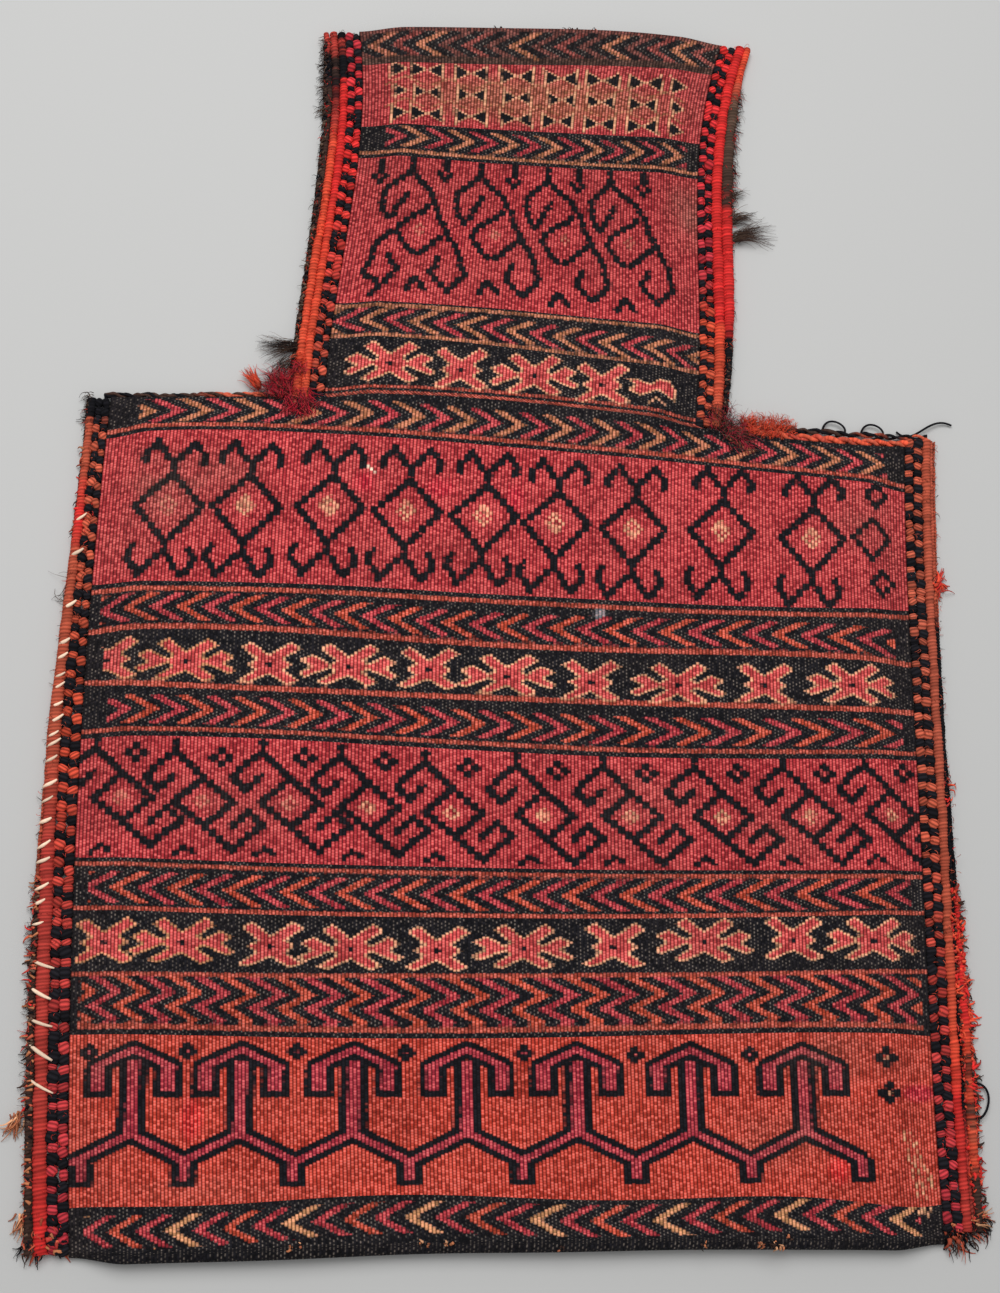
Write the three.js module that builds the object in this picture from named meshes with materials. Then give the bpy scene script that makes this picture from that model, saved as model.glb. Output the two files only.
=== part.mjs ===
// Flat-woven wool salt bag with a bottle outline, empty and lying on its back.
// One woven strip is folded at the bottom into a front and a back layer. Check-wrapped
// bindings and wool cords close the sides of the body and of the neck, and a twisted cord
// edges each shoulder. The mouth of the neck is open. The front's woven pattern stands in low relief.
// Millimetres, +X to the right of the front, +Y towards the mouth, +Z up from the back.
import * as THREE from 'three';

// Cloth layers and pouch
const CLOTH_THICKNESS = 2;
const POUCH_GAP = 9; // free height between the layers in the middle of the pouch
const EDGE_GAP = 0.8; // free height where the layers meet under a binding
const EDGE_TAPER = 18; // width along a bound edge in which the layers come together
const FOLD_STEPS = 6; // facets around the fold at the bottom

// Outline of the cloth between the bindings
const CLOTH_LENGTH = 635; // from the fold to the corners of the mouth
const BODY_WIDTH = 416; // at the shoulders
const BODY_CENTRE = -3;
const BASE_TAPER = 7; // how much narrower the body is at the fold
const LEFT_BOW = 7; // how far the left side bulges half way up
const NECK_BASE_WIDTH = 197;
const NECK_BASE_CENTRE = -3.5;
const MOUTH_WIDTH = 203;
const MOUTH_CENTRE = 14.5;
const LEFT_WAIST = 4; // how far the left side of the neck is drawn in half way up
const RIGHT_WAIST = 7;
const MOUTH_ARCH = 4; // rise of the mouth between its corners
const MOUTH_STEPS = 6; // straight stretches along the arch of the mouth

// Wrapped bindings and cords
const SEAM_CLEARANCE = 0.3; // between neighbouring pieces
const CHECK_WIDTH = 9.2; // two columns of wrapped checks
const CHECK_HEIGHT = 6.2; // of the lower wraps
const CHECK_RELIEF = 1.1; // how far a raised wrap stands over its neighbour
const CHECK_RIM = 3.4; // height of the long edges of the binding
const CHECK_PITCH = 8.2; // length of one wrap
const BINDING_TAIL = 4; // how far the body's bindings reach below the fold line
const EDGE_CORD_DIAMETER = 6.2;
const EDGE_CORD_STEP = 36;
const SHOULDER_CORD_DIAMETER = 4.4;
const SHOULDER_CORD_INSET = 10; // from a corner of the shoulder to the cord's outer end
const SHOULDER_CORD_STEP = 14;
const CORD_SIDES = 8;

// Yarn colours
const CRIMSON = new THREE.Color(0x9c2a33);
const BLACK_WOOL = new THREE.Color(0x1d1a1c);
const ORANGE_RED = new THREE.Color(0xb5472f);
const STRIPE_RED = new THREE.Color(0xa8303a);
const STRIPE_ORANGE = new THREE.Color(0xb6442e);
const STAR_RED = new THREE.Color(0xbe4a48);
const LINE_ORANGE = new THREE.Color(0x96483a);
const TAN = new THREE.Color(0xa66442);
const BACK_BROWN = new THREE.Color(0x5a3327);
const CLOTH_ROUGHNESS = 0.95;
const CORD_ROUGHNESS = 0.85;

// Woven pattern of the front
const RELIEF = 0.6; // how far the pattern stands over its ground
const EDGE_LINE = 3; // width of the plain line along each edge of a striped band
const STRIPE_PITCH = 12.7;
const STRIPE_WIDTH = 5.3; // of the coloured part of a pitch
const STRIPE_END = 8; // plain cloth left at the ends of a striped band
const STRIPE_SLOPE = 1.2; // how far a stripe runs sideways for each millimetre up
const DRAWN_LINE = 3.6; // width of the lines that draw diamonds and hooks
const STAR_PITCH = 42;
const NECK_STAR_SHARE = 0.86; // size of the neck's stars against the body's
const HOOK_PITCH = 42;
const DIAMOND_PITCH = 41.5;
const TREE_PITCH = 52.5;
const NECK_HOOK_PITCH = 36;
const TRIANGLE_PITCH = 24.5;
const TRIANGLE_ROW_STEP = 13;
const FIELD_MARGIN = 3; // least plain ground between a motif and the sides of its field
const WAVER = 0.7; // how far hand-woven motifs stray from a straight row
const WAVER_TURN = 2.26; // turn of the wavering from one motif to the next

// Motifs round their own middles
const STAR = [
  [0, 5], [9, 11], [14.5, 8], [6.5, 2], [6.5, -2], [14.5, -8], [9, -11],
  [0, -5], [-9, -11], [-14.5, -8], [-6.5, -2], [-6.5, 2], [-14.5, 8], [-9, 11],
];
const ARROWHEAD = [[8.5, 0], [18, -6.4], [24.5, -3], [19.5, 0], [24.5, 3], [18, 6.4]];
const DIAMOND = [[0, -17], [16, 0], [0, 17], [-16, 0]];
const DIAMOND_HEART = [[0, -6], [4, 0], [0, 6], [-4, 0]];
const ANTLERS = [[-11, 22], [-14, 26], [-6.5, 32], [0, 22], [6.5, 32], [14, 26], [11, 22]];
const HOOK_DIAMOND = [[0, -11], [13, 0], [0, 11], [-13, 0]];
const HOOK_CURL = [[-3.5, 14], [-14, 23.5], [-27.5, 10.5], [-22, 6.5], [-15.5, 12.5]];
const NECK_HOOK_LINES = [
  [[0, 37], [-11, 25], [-14, 14], [-9, 8], [-3, 18]],
  [[2.5, 31], [10.5, 17], [24, -16], [25.5, -26], [17, -35], [10, -26]],
  [[6, 9], [-7, -1], [-4, -12], [4, -14], [12, -7]],
];
const TRIANGLES = [[[-1.2, 0], [-9, 4.3], [-9, -4.3]], [[1.2, 0], [9, -4.3], [9, 4.3]]];
const TREE_RIGHT_SIDE = [
  [22, 24], [22, 6.5], [10, 6.5], [10, 19], [6.8, 20], [6.8, -5.5], [18.6, -10.8], [18.6, -19.8],
];
const TREE_TOP = [0, 32];
const TREE_FOOT = [0, -13.5];
const TREE_LEG = [[-5, -32], [5, -32], [5, -15.5], [0, -13.5], [-5, -15.5]];

// Fillings of a band: stripes bent at corners, each a share of the stripe's height and a direction,
// or rows of motifs
const bentStripes = (corners, colours, line) => ({ corners, colours, line });
const arrowsRight = (colours, line) => bentStripes([[0.5, 1]], colours, line);
const arrowsLeft = (colours, line) => bentStripes([[0.5, -1]], colours, line);
const zigzags = (colours, line) => bentStripes([[1 / 3, -1], [2 / 3, 0.6]], colours, line);
const REDS = [STRIPE_RED, STRIPE_ORANGE];
const EARTHS = [TAN, STRIPE_RED];

// Bands of the front from the fold up, which share the cloth's length in proportion to their heights.
// tilt is how much higher a band's upper line lies at the right side of the body than at the left.
const FOLD_TILT = 8;
const FOLD_BAND = 20;
const STRIPED_BAND = 25.7;
const STAR_BAND = 26.5;
const ZIGZAG_BAND = 29;
const TREE_FIELD = 73;
const HOOK_FIELD = 57;
const DIAMOND_FIELD = 77;
const SHOULDER_BAND = 22;
const NECK_STAR_BAND = 34;
const NECK_STRIPED_BAND = 21;
const NECK_FIELD = 88;
const TRIANGLE_FIELD = 45;
const MOUTH_BAND = 18;
const BODY_BANDS = [
  { height: FOLD_BAND, tilt: -2, ground: BLACK_WOOL, stripes: arrowsLeft([TAN, ...REDS], BLACK_WOOL) },
  { height: TREE_FIELD, tilt: 0, ground: ORANGE_RED, motifs: trees },
  { height: ZIGZAG_BAND, tilt: 2, ground: BLACK_WOOL, stripes: zigzags(REDS, LINE_ORANGE) },
  { height: STAR_BAND, tilt: 4, ground: BLACK_WOOL, motifs: stars },
  { height: STRIPED_BAND, tilt: 0, ground: BLACK_WOOL, stripes: arrowsLeft(REDS, LINE_ORANGE) },
  { height: HOOK_FIELD, tilt: -2, ground: CRIMSON, motifs: hooks },
  { height: STRIPED_BAND, tilt: -4, ground: BLACK_WOOL, stripes: arrowsRight(REDS, LINE_ORANGE) },
  { height: STAR_BAND, tilt: -6, ground: BLACK_WOOL, motifs: stars },
  { height: STRIPED_BAND, tilt: -3, ground: BLACK_WOOL, stripes: arrowsLeft(REDS, LINE_ORANGE) },
  { height: DIAMOND_FIELD, tilt: -14, ground: CRIMSON, motifs: diamonds },
  { height: SHOULDER_BAND, tilt: -10, ground: BLACK_WOOL, stripes: arrowsRight(EARTHS, LINE_ORANGE) },
];
const NECK_BANDS = [
  { height: NECK_STAR_BAND, tilt: -20, ground: BLACK_WOOL, motifs: neckStars },
  { height: NECK_STRIPED_BAND, tilt: -17, ground: BLACK_WOOL, stripes: arrowsLeft(EARTHS, TAN) },
  { height: NECK_FIELD, tilt: -6, ground: CRIMSON, motifs: neckHooks },
  { height: NECK_STRIPED_BAND, tilt: 0, ground: BLACK_WOOL, stripes: arrowsRight(EARTHS, TAN) },
  { height: TRIANGLE_FIELD, tilt: 4, ground: CRIMSON, motifs: triangles },
  { height: MOUTH_BAND, tilt: 12, ground: BLACK_WOOL, stripes: arrowsLeft(EARTHS, BLACK_WOOL) },
];

const { clamp, lerp } = THREE.MathUtils;
const heightOf = (bands) => bands.reduce((sum, band) => sum + band.height, 0);
const BAND_SCALE = CLOTH_LENGTH / heightOf([...BODY_BANDS, ...NECK_BANDS]);
const BODY_HEIGHT = heightOf(BODY_BANDS) * BAND_SCALE;
const NECK_HEIGHT = heightOf(NECK_BANDS) * BAND_SCALE;

// The side of the outline at a height above the fold. side is -1 on the left and 1 on the right.
function bodySide(y, side) {
  const t = clamp(y / BODY_HEIGHT, 0, 1);
  const width = BODY_WIDTH - BASE_TAPER * (1 - t);
  const bow = side < 0 ? LEFT_BOW * Math.sin(Math.PI * t) : 0;
  return BODY_CENTRE + (side * width) / 2 - bow;
}

function neckSide(y, side) {
  const t = clamp((y - BODY_HEIGHT) / NECK_HEIGHT, 0, 1);
  const base = NECK_BASE_CENTRE + (side * NECK_BASE_WIDTH) / 2;
  const mouth = MOUTH_CENTRE + (side * MOUTH_WIDTH) / 2;
  const waist = (side < 0 ? LEFT_WAIST : RIGHT_WAIST) * Math.sin(Math.PI * t);
  return lerp(base, mouth, t) - side * waist;
}

const bothSides = (sideAt, y) => [sideAt(y, -1), sideAt(y, 1)];

// A band line runs straight across the bag, a little slanted.
const lineHeight = (y, tilt, x) => y + (tilt * x) / BODY_WIDTH;

// Free height between the layers at a place between two bound edges
function freeHeight(x, left, right) {
  const inward = Math.min(x - left, right - x) / EDGE_TAPER;
  return lerp(EDGE_GAP, POUCH_GAP, clamp(inward, 0, 1));
}

// A line across the cloth with its named points from left to right. at gives any other point of it.
function clothRow(places, height, gap) {
  const at = (x, name) => ({ name, x, y: height(x), gap: gap(x) });
  const points = Object.entries(places).map(([name, x]) => at(x, name));
  return { at, points, sides: [points[0], points[points.length - 1]] };
}

const pointOf = (row, name) => row.points.find((point) => point.name === name);

// A line across the body. closing goes from 0 where the shoulders begin to close to 1 where they are
// shut; such lines also carry the points of the neck's base.
function bodyRow(y, tilt, closing, carriesNeck) {
  const [left, right] = bothSides(bodySide, y);
  const [neckLeft, neckRight] = bothSides(neckSide, BODY_HEIGHT);
  const neck = {
    neck_left: neckLeft,
    neck_inner_left: neckLeft + EDGE_TAPER,
    neck_inner_right: neckRight - EDGE_TAPER,
    neck_right: neckRight,
  };
  const places = {
    side_left: left,
    inner_left: left + EDGE_TAPER,
    ...(carriesNeck ? neck : {}),
    inner_right: right - EDGE_TAPER,
    side_right: right,
  };
  const gap = (x) => lerp(freeHeight(x, left, right), freeHeight(x, neckLeft, neckRight), closing);
  return clothRow(places, (x) => lineHeight(y, tilt, x), gap);
}

function neckRow(y, tilt, isMouth) {
  const [left, right] = bothSides(neckSide, y);
  const arch = (x) => (isMouth ? MOUTH_ARCH * Math.sin((Math.PI * (x - left)) / (right - left)) : 0);
  const innerLeft = left + EDGE_TAPER;
  const innerRight = right - EDGE_TAPER;
  const steps = isMouth ? MOUTH_STEPS : 1;
  const places = { neck_left: left, neck_inner_left: innerLeft };
  for (let i = 1; i < steps; i += 1) places[`mouth_${i}`] = lerp(innerLeft, innerRight, i / steps);
  places.neck_inner_right = innerRight;
  places.neck_right = right;
  return clothRow(places, (x) => lineHeight(y, tilt, x) + arch(x), (x) => freeHeight(x, left, right));
}

// Lines within a band, as shares of its height: a striped band has an edge line at its foot and its top
function bandCuts(band) {
  const line = EDGE_LINE / (band.height * BAND_SCALE);
  return band.stripes ? [line, 1 - line, 1] : [1];
}

// Strips of the front between neighbouring lines, from a first line up
function layOutBands(bands, first, start, startTilt, makeRow) {
  const strips = [];
  let lower = first;
  let y = start;
  let tilt = startTilt;
  bands.forEach((band, number) => {
    bandCuts(band).forEach((share, i) => {
      const level = y + share * band.height * BAND_SCALE;
      const upper = makeRow(level, lerp(tilt, band.tilt, share), number, share);
      strips.push({ band, lower, upper, isLine: Boolean(band.stripes) && i !== 1 });
      lower = upper;
    });
    y += band.height * BAND_SCALE;
    tilt = band.tilt;
  });
  return strips;
}

const LAST_BODY_BAND = BODY_BANDS.length - 1;
const SHOULDER_TILT = BODY_BANDS[LAST_BODY_BAND].tilt;
const FOLD_ROW = bodyRow(0, FOLD_TILT, 0, false);
const BODY_STRIPS = layOutBands(BODY_BANDS, FOLD_ROW, 0, FOLD_TILT, (y, tilt, number, share) => {
  const closing = number === LAST_BODY_BAND ? share : 0;
  return bodyRow(y, tilt, closing, number === LAST_BODY_BAND);
});
const SHOULDER_ROW = BODY_STRIPS[BODY_STRIPS.length - 1].upper;
const NECK_FOOT = SHOULDER_ROW.points.filter((point) => point.name.startsWith('neck'));
const NECK_FOOT_ROW = { ...SHOULDER_ROW, points: NECK_FOOT, sides: [NECK_FOOT[0], NECK_FOOT.at(-1)] };
const NECK_STRIPS = layOutBands(
  NECK_BANDS, NECK_FOOT_ROW, BODY_HEIGHT, SHOULDER_TILT,
  (y, tilt, number, share) => neckRow(y, tilt, number === NECK_BANDS.length - 1 && share === 1));
const STRIPS = [...BODY_STRIPS, ...NECK_STRIPS];
const BODY_ROWS = [FOLD_ROW, ...BODY_STRIPS.map((strip) => strip.upper)];
const NECK_ROWS = NECK_STRIPS.map((strip) => strip.upper);
const MOUTH_ROW = NECK_ROWS[NECK_ROWS.length - 1];

// A motif is an outline placed round a middle, as tall as its band's share of the cloth's length allows.
// All outlines go counter-clockwise.
function motif(outline, colour, [x, y], holes = [], inside = []) {
  const placed = (points) => {
    const place = points.map(([across, up]) => ({ x: x + across, y: y + up * BAND_SCALE, gap: POUCH_GAP }));
    return THREE.ShapeUtils.area(place) < 0 ? place.reverse() : place;
  };
  return { outline: placed(outline), holes: holes.map(placed), inside, colour };
}

const turned = (points) => points.map(([x, y]) => [-x, -y]);
const mirrored = (points) => points.map(([x, y]) => [-x, y]);
const upsideDown = (points) => points.map(([x, y]) => [x, -y]);

// Outline of a line of constant width with mitred corners
function drawnLine(points) {
  const path = points.map(([x, y]) => new THREE.Vector2(x, y));
  const heading = (i) => path[i + 1].clone().sub(path[i]).normalize();
  const offset = (side) => path.map((p, i) => {
    const before = heading(Math.max(i - 1, 0));
    const after = heading(Math.min(i, path.length - 2));
    const normal = new THREE.Vector2(-before.y - after.y, before.x + after.x).normalize();
    const reach = (side * DRAWN_LINE) / 2 / normal.dot(new THREE.Vector2(-after.y, after.x));
    return [p.x + normal.x * reach, p.y + normal.y * reach];
  });
  return [...offset(-1), ...offset(1).reverse()];
}

const halfWidth = (points) => Math.max(...points.map(([x]) => Math.abs(x)));
const shrunk = (points, share) => points.map(([x, y]) => [x * share, y * share]);

// A drawn line round a diamond, with what lies inside it
function ring(points, colour, at, inside = []) {
  return motif(points, colour, at, [shrunk(points, 1 - DRAWN_LINE / halfWidth(points))], inside);
}

// Middles of equal motifs across a field, as many as fit. Each strays a little its own way.
function rowOfMiddles(strip, pitch, outlines, turn = 0) {
  const edge = (end, side) => [strip.lower, strip.upper].map((row) => row.points.at(end).x - side * EDGE_TAPER);
  const reach = outlines.flat().map(([x]) => x);
  const left = Math.max(...edge(0, -1)) - Math.min(...reach) + FIELD_MARGIN;
  const right = Math.min(...edge(-1, 1)) - Math.max(...reach) - FIELD_MARGIN;
  const count = Math.floor((right - left) / pitch) + 1;
  const start = (left + right - (count - 1) * pitch) / 2;
  return Array.from({ length: count }, (_, i) => {
    const angle = (i + turn) * WAVER_TURN;
    const x = start + i * pitch + WAVER * Math.cos(angle);
    return [x, (strip.lower.at(x).y + strip.upper.at(x).y) / 2 + WAVER * Math.sin(angle)];
  });
}

// Crossed stars, every other one between two arrowheads
function starRow(strip, share) {
  const star = shrunk(STAR, share);
  const arrowhead = shrunk(ARROWHEAD, share);
  return rowOfMiddles(strip, STAR_PITCH * share, [star]).flatMap((at, i, row) => {
    const flanked = i % 2 === 1 && i < row.length - 1;
    const outlines = flanked ? [star, arrowhead, mirrored(arrowhead)] : [star];
    return outlines.map((outline) => motif(outline, STAR_RED, at));
  });
}

function stars(strip) {
  return starRow(strip, 1);
}

function neckStars(strip) {
  return starRow(strip, NECK_STAR_SHARE);
}

// Diamonds with a pair of curled antlers above and below
function diamonds(strip) {
  return rowOfMiddles(strip, DIAMOND_PITCH, [DIAMOND]).flatMap((at) => [
    ring(DIAMOND, BLACK_WOOL, at, [motif(DIAMOND_HEART, TAN, at)]),
    motif(drawnLine(ANTLERS), BLACK_WOOL, at),
    motif(drawnLine(upsideDown(ANTLERS)), BLACK_WOOL, at),
  ]);
}

// Diamonds between two curling hooks that turn the same way round
function hooks(strip) {
  return rowOfMiddles(strip, HOOK_PITCH, [HOOK_CURL, turned(HOOK_CURL)]).flatMap((at) => [
    ring(HOOK_DIAMOND, BLACK_WOOL, at),
    motif(drawnLine(HOOK_CURL), BLACK_WOOL, at),
    motif(drawnLine(turned(HOOK_CURL)), BLACK_WOOL, at),
  ]);
}

function neckHooks(strip) {
  return rowOfMiddles(strip, NECK_HOOK_PITCH, NECK_HOOK_LINES).flatMap(
    (at) => NECK_HOOK_LINES.map((line) => motif(drawnLine(line), BLACK_WOOL, at)));
}

// Three rows of triangles that meet point to point
function triangles(strip) {
  return [-1, 0, 1].flatMap((row) => rowOfMiddles(strip, TRIANGLE_PITCH, TRIANGLES, row / 2).flatMap(
    ([x, y]) => {
      const at = [x, y + row * TRIANGLE_ROW_STEP * BAND_SCALE];
      return TRIANGLES.map((outline) => motif(outline, BLACK_WOOL, at));
    }));
}

// Trees with a roof and two hanging arms, and the legs between them
function trees(strip) {
  const outline = [TREE_FOOT, ...[...TREE_RIGHT_SIDE].reverse(), TREE_TOP, ...mirrored(TREE_RIGHT_SIDE)];
  const middles = rowOfMiddles(strip, TREE_PITCH, [outline]);
  return middles.flatMap(([x, y], i) => {
    const tree = motif(outline, BLACK_WOOL, [x, y]);
    return i ? [tree, motif(TREE_LEG, BLACK_WOOL, [x - TREE_PITCH / 2, y])] : [tree];
  });
}

// Collects the triangles of one solid, each with a yarn colour.
class Facets {
  constructor() {
    this.positions = [];
    this.colours = [];
  }

  triangle(a, b, c, colour) {
    [a, b, c].forEach((v) => {
      this.positions.push(v.x, v.y, v.z);
      this.colours.push(colour.r, colour.g, colour.b);
    });
  }

  quad(a, b, c, d, colour) {
    this.triangle(a, b, c, colour);
    this.triangle(a, c, d, colour);
  }

  // Fills a flat outline with holes at a height for each point
  plate(outline, height, up, colour, holes = []) {
    const at = [outline, ...holes].flat().map((p) => new THREE.Vector3(p.x, p.y, height(p)));
    const flat = (points) => points.map((p) => new THREE.Vector2(p.x, p.y));
    THREE.ShapeUtils.triangulateShape(flat(outline), holes.map(flat)).forEach(([i, j, k]) => {
      const corners = up ? [i, j, k] : [k, j, i];
      this.triangle(...corners.map((n) => at[n]), colour);
    });
  }

  // Fills the strip between two lines of points, both from left to right
  strip(lower, upper, height, up, colour) {
    const at = (p) => new THREE.Vector3(p.x, p.y, height(p));
    let i = 0;
    let j = 0;
    while (i < lower.length - 1 || j < upper.length - 1) {
      const below = j === upper.length - 1 || (i < lower.length - 1 && lower[i + 1].x <= upper[j + 1].x);
      const corners = [lower[i], below ? lower[i + 1] : upper[j + 1], upper[j]].map(at);
      this.triangle(...(up ? corners : corners.reverse()), colour);
      if (below) i += 1;
      else j += 1;
    }
  }

  // Walls along a line of points, facing right of its direction
  walls(points, bottom, top, colour) {
    const at = (p, height) => new THREE.Vector3(p.x, p.y, height(p));
    points.slice(1).forEach((b, i) => {
      const a = points[i];
      this.quad(at(a, bottom), at(b, bottom), at(b, top), at(a, top), colour);
    });
  }

  geometry() {
    const geometry = new THREE.BufferGeometry();
    geometry.setAttribute('position', new THREE.Float32BufferAttribute(this.positions, 3));
    geometry.setAttribute('color', new THREE.Float32BufferAttribute(this.colours, 3));
    geometry.computeVertexNormals();
    return geometry;
  }
}

// Heights of the four faces of the two layers
const backUnder = () => 0;
const backTop = () => CLOTH_THICKNESS;
const frontUnder = (p) => CLOTH_THICKNESS + p.gap;
const frontTop = (p) => frontUnder(p) + CLOTH_THICKNESS + (p.rise ?? 0);
const motifTop = (p) => frontTop(p) + RELIEF;

// The edge of a layer, counter-clockwise from the right end of the fold to its left end
function layerEdge() {
  const named = (rows, name) => rows.map((row) => pointOf(row, name));
  return [
    ...named(BODY_ROWS, 'side_right'),
    ...['inner_right', 'neck_right'].map((name) => pointOf(SHOULDER_ROW, name)),
    ...named(NECK_ROWS.slice(0, -1), 'neck_right'),
    ...[...MOUTH_ROW.points].reverse(),
    ...named(NECK_ROWS.slice(0, -1), 'neck_left').reverse(),
    ...['neck_left', 'inner_left'].map((name) => pointOf(SHOULDER_ROW, name)),
    ...named(BODY_ROWS, 'side_left').reverse(),
  ];
}

// One edge of a bent stripe from the strip's lower line to its upper line. A leading edge stands up
// at its corners.
function stripeEdge({ band, lower, upper }, x, rise) {
  const run = ((upper.at(x).y - lower.at(x).y) / 2) * STRIPE_SLOPE;
  const corners = band.stripes.corners.map(([share, turn]) => {
    const [a, b] = [lower.at(x + turn * run), upper.at(x + turn * run)];
    return { x: a.x, y: lerp(a.y, b.y, share), gap: lerp(a.gap, b.gap, share), rise };
  });
  return [lower.at(x), ...corners, upper.at(x)];
}

// Edges of all stripes of a strip, from left to right, two for each stripe
function stripeEdges(strip) {
  const { lower, upper } = strip;
  const run = ((upper.at(0).y - lower.at(0).y) / 2) * STRIPE_SLOPE;
  const left = Math.max(lower.sides[0].x, upper.sides[0].x) + STRIPE_END + run;
  const right = Math.min(lower.sides[1].x, upper.sides[1].x) - STRIPE_END - run;
  const count = Math.floor((right - left - STRIPE_WIDTH) / STRIPE_PITCH) + 1;
  return Array.from({ length: count }, (_, i) => left + i * STRIPE_PITCH).flatMap((x) => [
    stripeEdge(strip, x, RELIEF),
    stripeEdge(strip, x + STRIPE_WIDTH, 0),
  ]);
}

// The bent stripes of a strip on their black ground
function addStripes(facets, strip) {
  const { band, lower, upper, edges } = strip;
  const between = (a, b, colour) => a.slice(1).forEach((_, i) => {
    const corners = [a[i], b[i], b[i + 1], a[i + 1]];
    facets.quad(...corners.map((p) => new THREE.Vector3(p.x, p.y, frontTop(p))), colour);
  });
  edges.slice(1).forEach((edge, i) => {
    const { colours } = band.stripes;
    between(edges[i], edge, i % 2 ? band.ground : colours[(i / 2) % colours.length]);
  });
  const leftEnd = [lower.sides[0], ...edges[0], upper.sides[0]];
  const rightEnd = [lower.sides[1], upper.sides[1], ...[...edges[edges.length - 1]].reverse()];
  [leftEnd, rightEnd].forEach((outline) => facets.plate(outline, frontTop, true, band.ground));
}

// The ground round motifs, their tops and walls, and the ground with further motifs inside a ring
function addGround(facets, outline, motifs, ground) {
  facets.plate(outline, frontTop, true, ground, motifs.map((shape) => shape.outline));
  motifs.forEach((shape) => {
    facets.plate(shape.outline, motifTop, true, shape.colour, shape.holes);
    facets.walls([...shape.outline, shape.outline[0]], frontTop, motifTop, shape.colour);
    shape.holes.forEach((hole) => {
      facets.walls([hole[0], ...[...hole].reverse()], frontTop, motifTop, shape.colour);
      addGround(facets, hole, shape.inside, ground);
    });
  });
}

// A field of motifs between the tapers along its sides
function addField(facets, strip) {
  const { band, lower, upper } = strip;
  [[0, 2], [-2]].forEach((end) => {
    facets.strip(lower.points.slice(...end), upper.points.slice(...end), frontTop, true, band.ground);
  });
  const outline = [...lower.points.slice(1, -1), ...upper.points.slice(1, -1).reverse()];
  addGround(facets, outline, band.motifs(strip), band.ground);
}

// Half circle of the fold below one point of the lowest line, from the front face to the back face
function foldArc(p, top, bottom) {
  const radius = (top - bottom) / 2;
  return Array.from({ length: FOLD_STEPS + 1 }, (_, i) => {
    const angle = (Math.PI * i) / FOLD_STEPS;
    const z = bottom + radius * (1 + Math.cos(angle));
    return new THREE.Vector3(p.x, p.y - radius * Math.sin(angle), z);
  });
}

function addFold(facets) {
  const outer = FOLD_ROW.points.map((p) => foldArc(p, frontTop(p), backUnder(p)));
  const inner = FOLD_ROW.points.map((p) => foldArc(p, frontUnder(p), backTop(p)));
  const last = FOLD_ROW.points.length - 1;
  for (let k = 0; k < FOLD_STEPS; k += 1) {
    for (let i = 0; i < last; i += 1) {
      facets.quad(outer[i][k], outer[i][k + 1], outer[i + 1][k + 1], outer[i + 1][k], BLACK_WOOL);
      facets.quad(inner[i][k], inner[i + 1][k], inner[i + 1][k + 1], inner[i][k + 1], BACK_BROWN);
    }
    facets.quad(outer[0][k], inner[0][k], inner[0][k + 1], outer[0][k + 1], BLACK_WOOL);
    facets.quad(outer[last][k], outer[last][k + 1], inner[last][k + 1], inner[last][k], BLACK_WOOL);
  }
}

// The front of the cloth: striped bands between their edge lines, and fields of motifs
function addFront(facets) {
  const topPoints = new Map();
  const striped = STRIPS.filter(({ band, isLine }) => band.stripes && !isLine);
  striped.forEach((strip) => {
    strip.edges = stripeEdges(strip);
    const { lower, upper, edges } = strip;
    topPoints.set(lower, [lower.sides[0], ...edges.map((edge) => edge[0]), lower.sides[1]]);
    topPoints.set(upper, [upper.sides[0], ...edges.map((edge) => edge.at(-1)), upper.sides[1]]);
    addStripes(facets, strip);
  });
  const pointsOf = (row) => topPoints.get(row) ?? row.points;
  STRIPS.filter(({ isLine }) => isLine).forEach(({ band, lower, upper }) => {
    facets.strip(pointsOf(lower), pointsOf(upper), frontTop, true, band.stripes.line);
  });
  STRIPS.filter(({ band }) => band.motifs).forEach((strip) => addField(facets, strip));
}

// The folded cloth: front and back layer, the fold between them and their cut edges
function wovenCloth() {
  const facets = new Facets();
  addFront(facets);
  STRIPS.forEach(({ lower, upper }) => {
    facets.strip(lower.points, upper.points, frontUnder, false, BACK_BROWN);
  });
  const edgeRows = [FOLD_ROW, SHOULDER_ROW, NECK_FOOT_ROW, MOUTH_ROW];
  const backPoints = (row) => (edgeRows.includes(row) ? row.points : row.sides);
  STRIPS.forEach(({ lower, upper }) => {
    facets.strip(backPoints(lower), backPoints(upper), backTop, true, BACK_BROWN);
    facets.strip(backPoints(lower), backPoints(upper), backUnder, false, BACK_BROWN);
  });
  const edge = layerEdge();
  facets.walls(edge, frontUnder, frontTop, BLACK_WOOL);
  facets.walls(edge, backUnder, backTop, BACK_BROWN);
  addFold(facets);
  return facets.geometry();
}

// A closed body through rings of equally many points, each counter-clockwise seen from the start.
// colourAt gives the yarn of a facet by the numbers of its ring and of its side.
function loft(rings, colourAt) {
  const facets = new Facets();
  const count = rings[0].length;
  rings.slice(1).forEach((ring, i) => {
    for (let j = 0; j < count; j += 1) {
      const k = (j + 1) % count;
      facets.quad(rings[i][j], ring[j], ring[k], rings[i][k], colourAt(i, j));
    }
  });
  const cap = (ring, turn) => {
    const centre = ring.reduce((sum, v) => sum.add(v), new THREE.Vector3()).divideScalar(count);
    ring.forEach((v, j) => facets.triangle(centre, ...turn([v, ring[(j + 1) % count]]), colourAt(0, 0)));
  };
  cap(rings[0], (pair) => pair);
  cap(rings[rings.length - 1], (pair) => pair.reverse());
  return facets.geometry();
}

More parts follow.
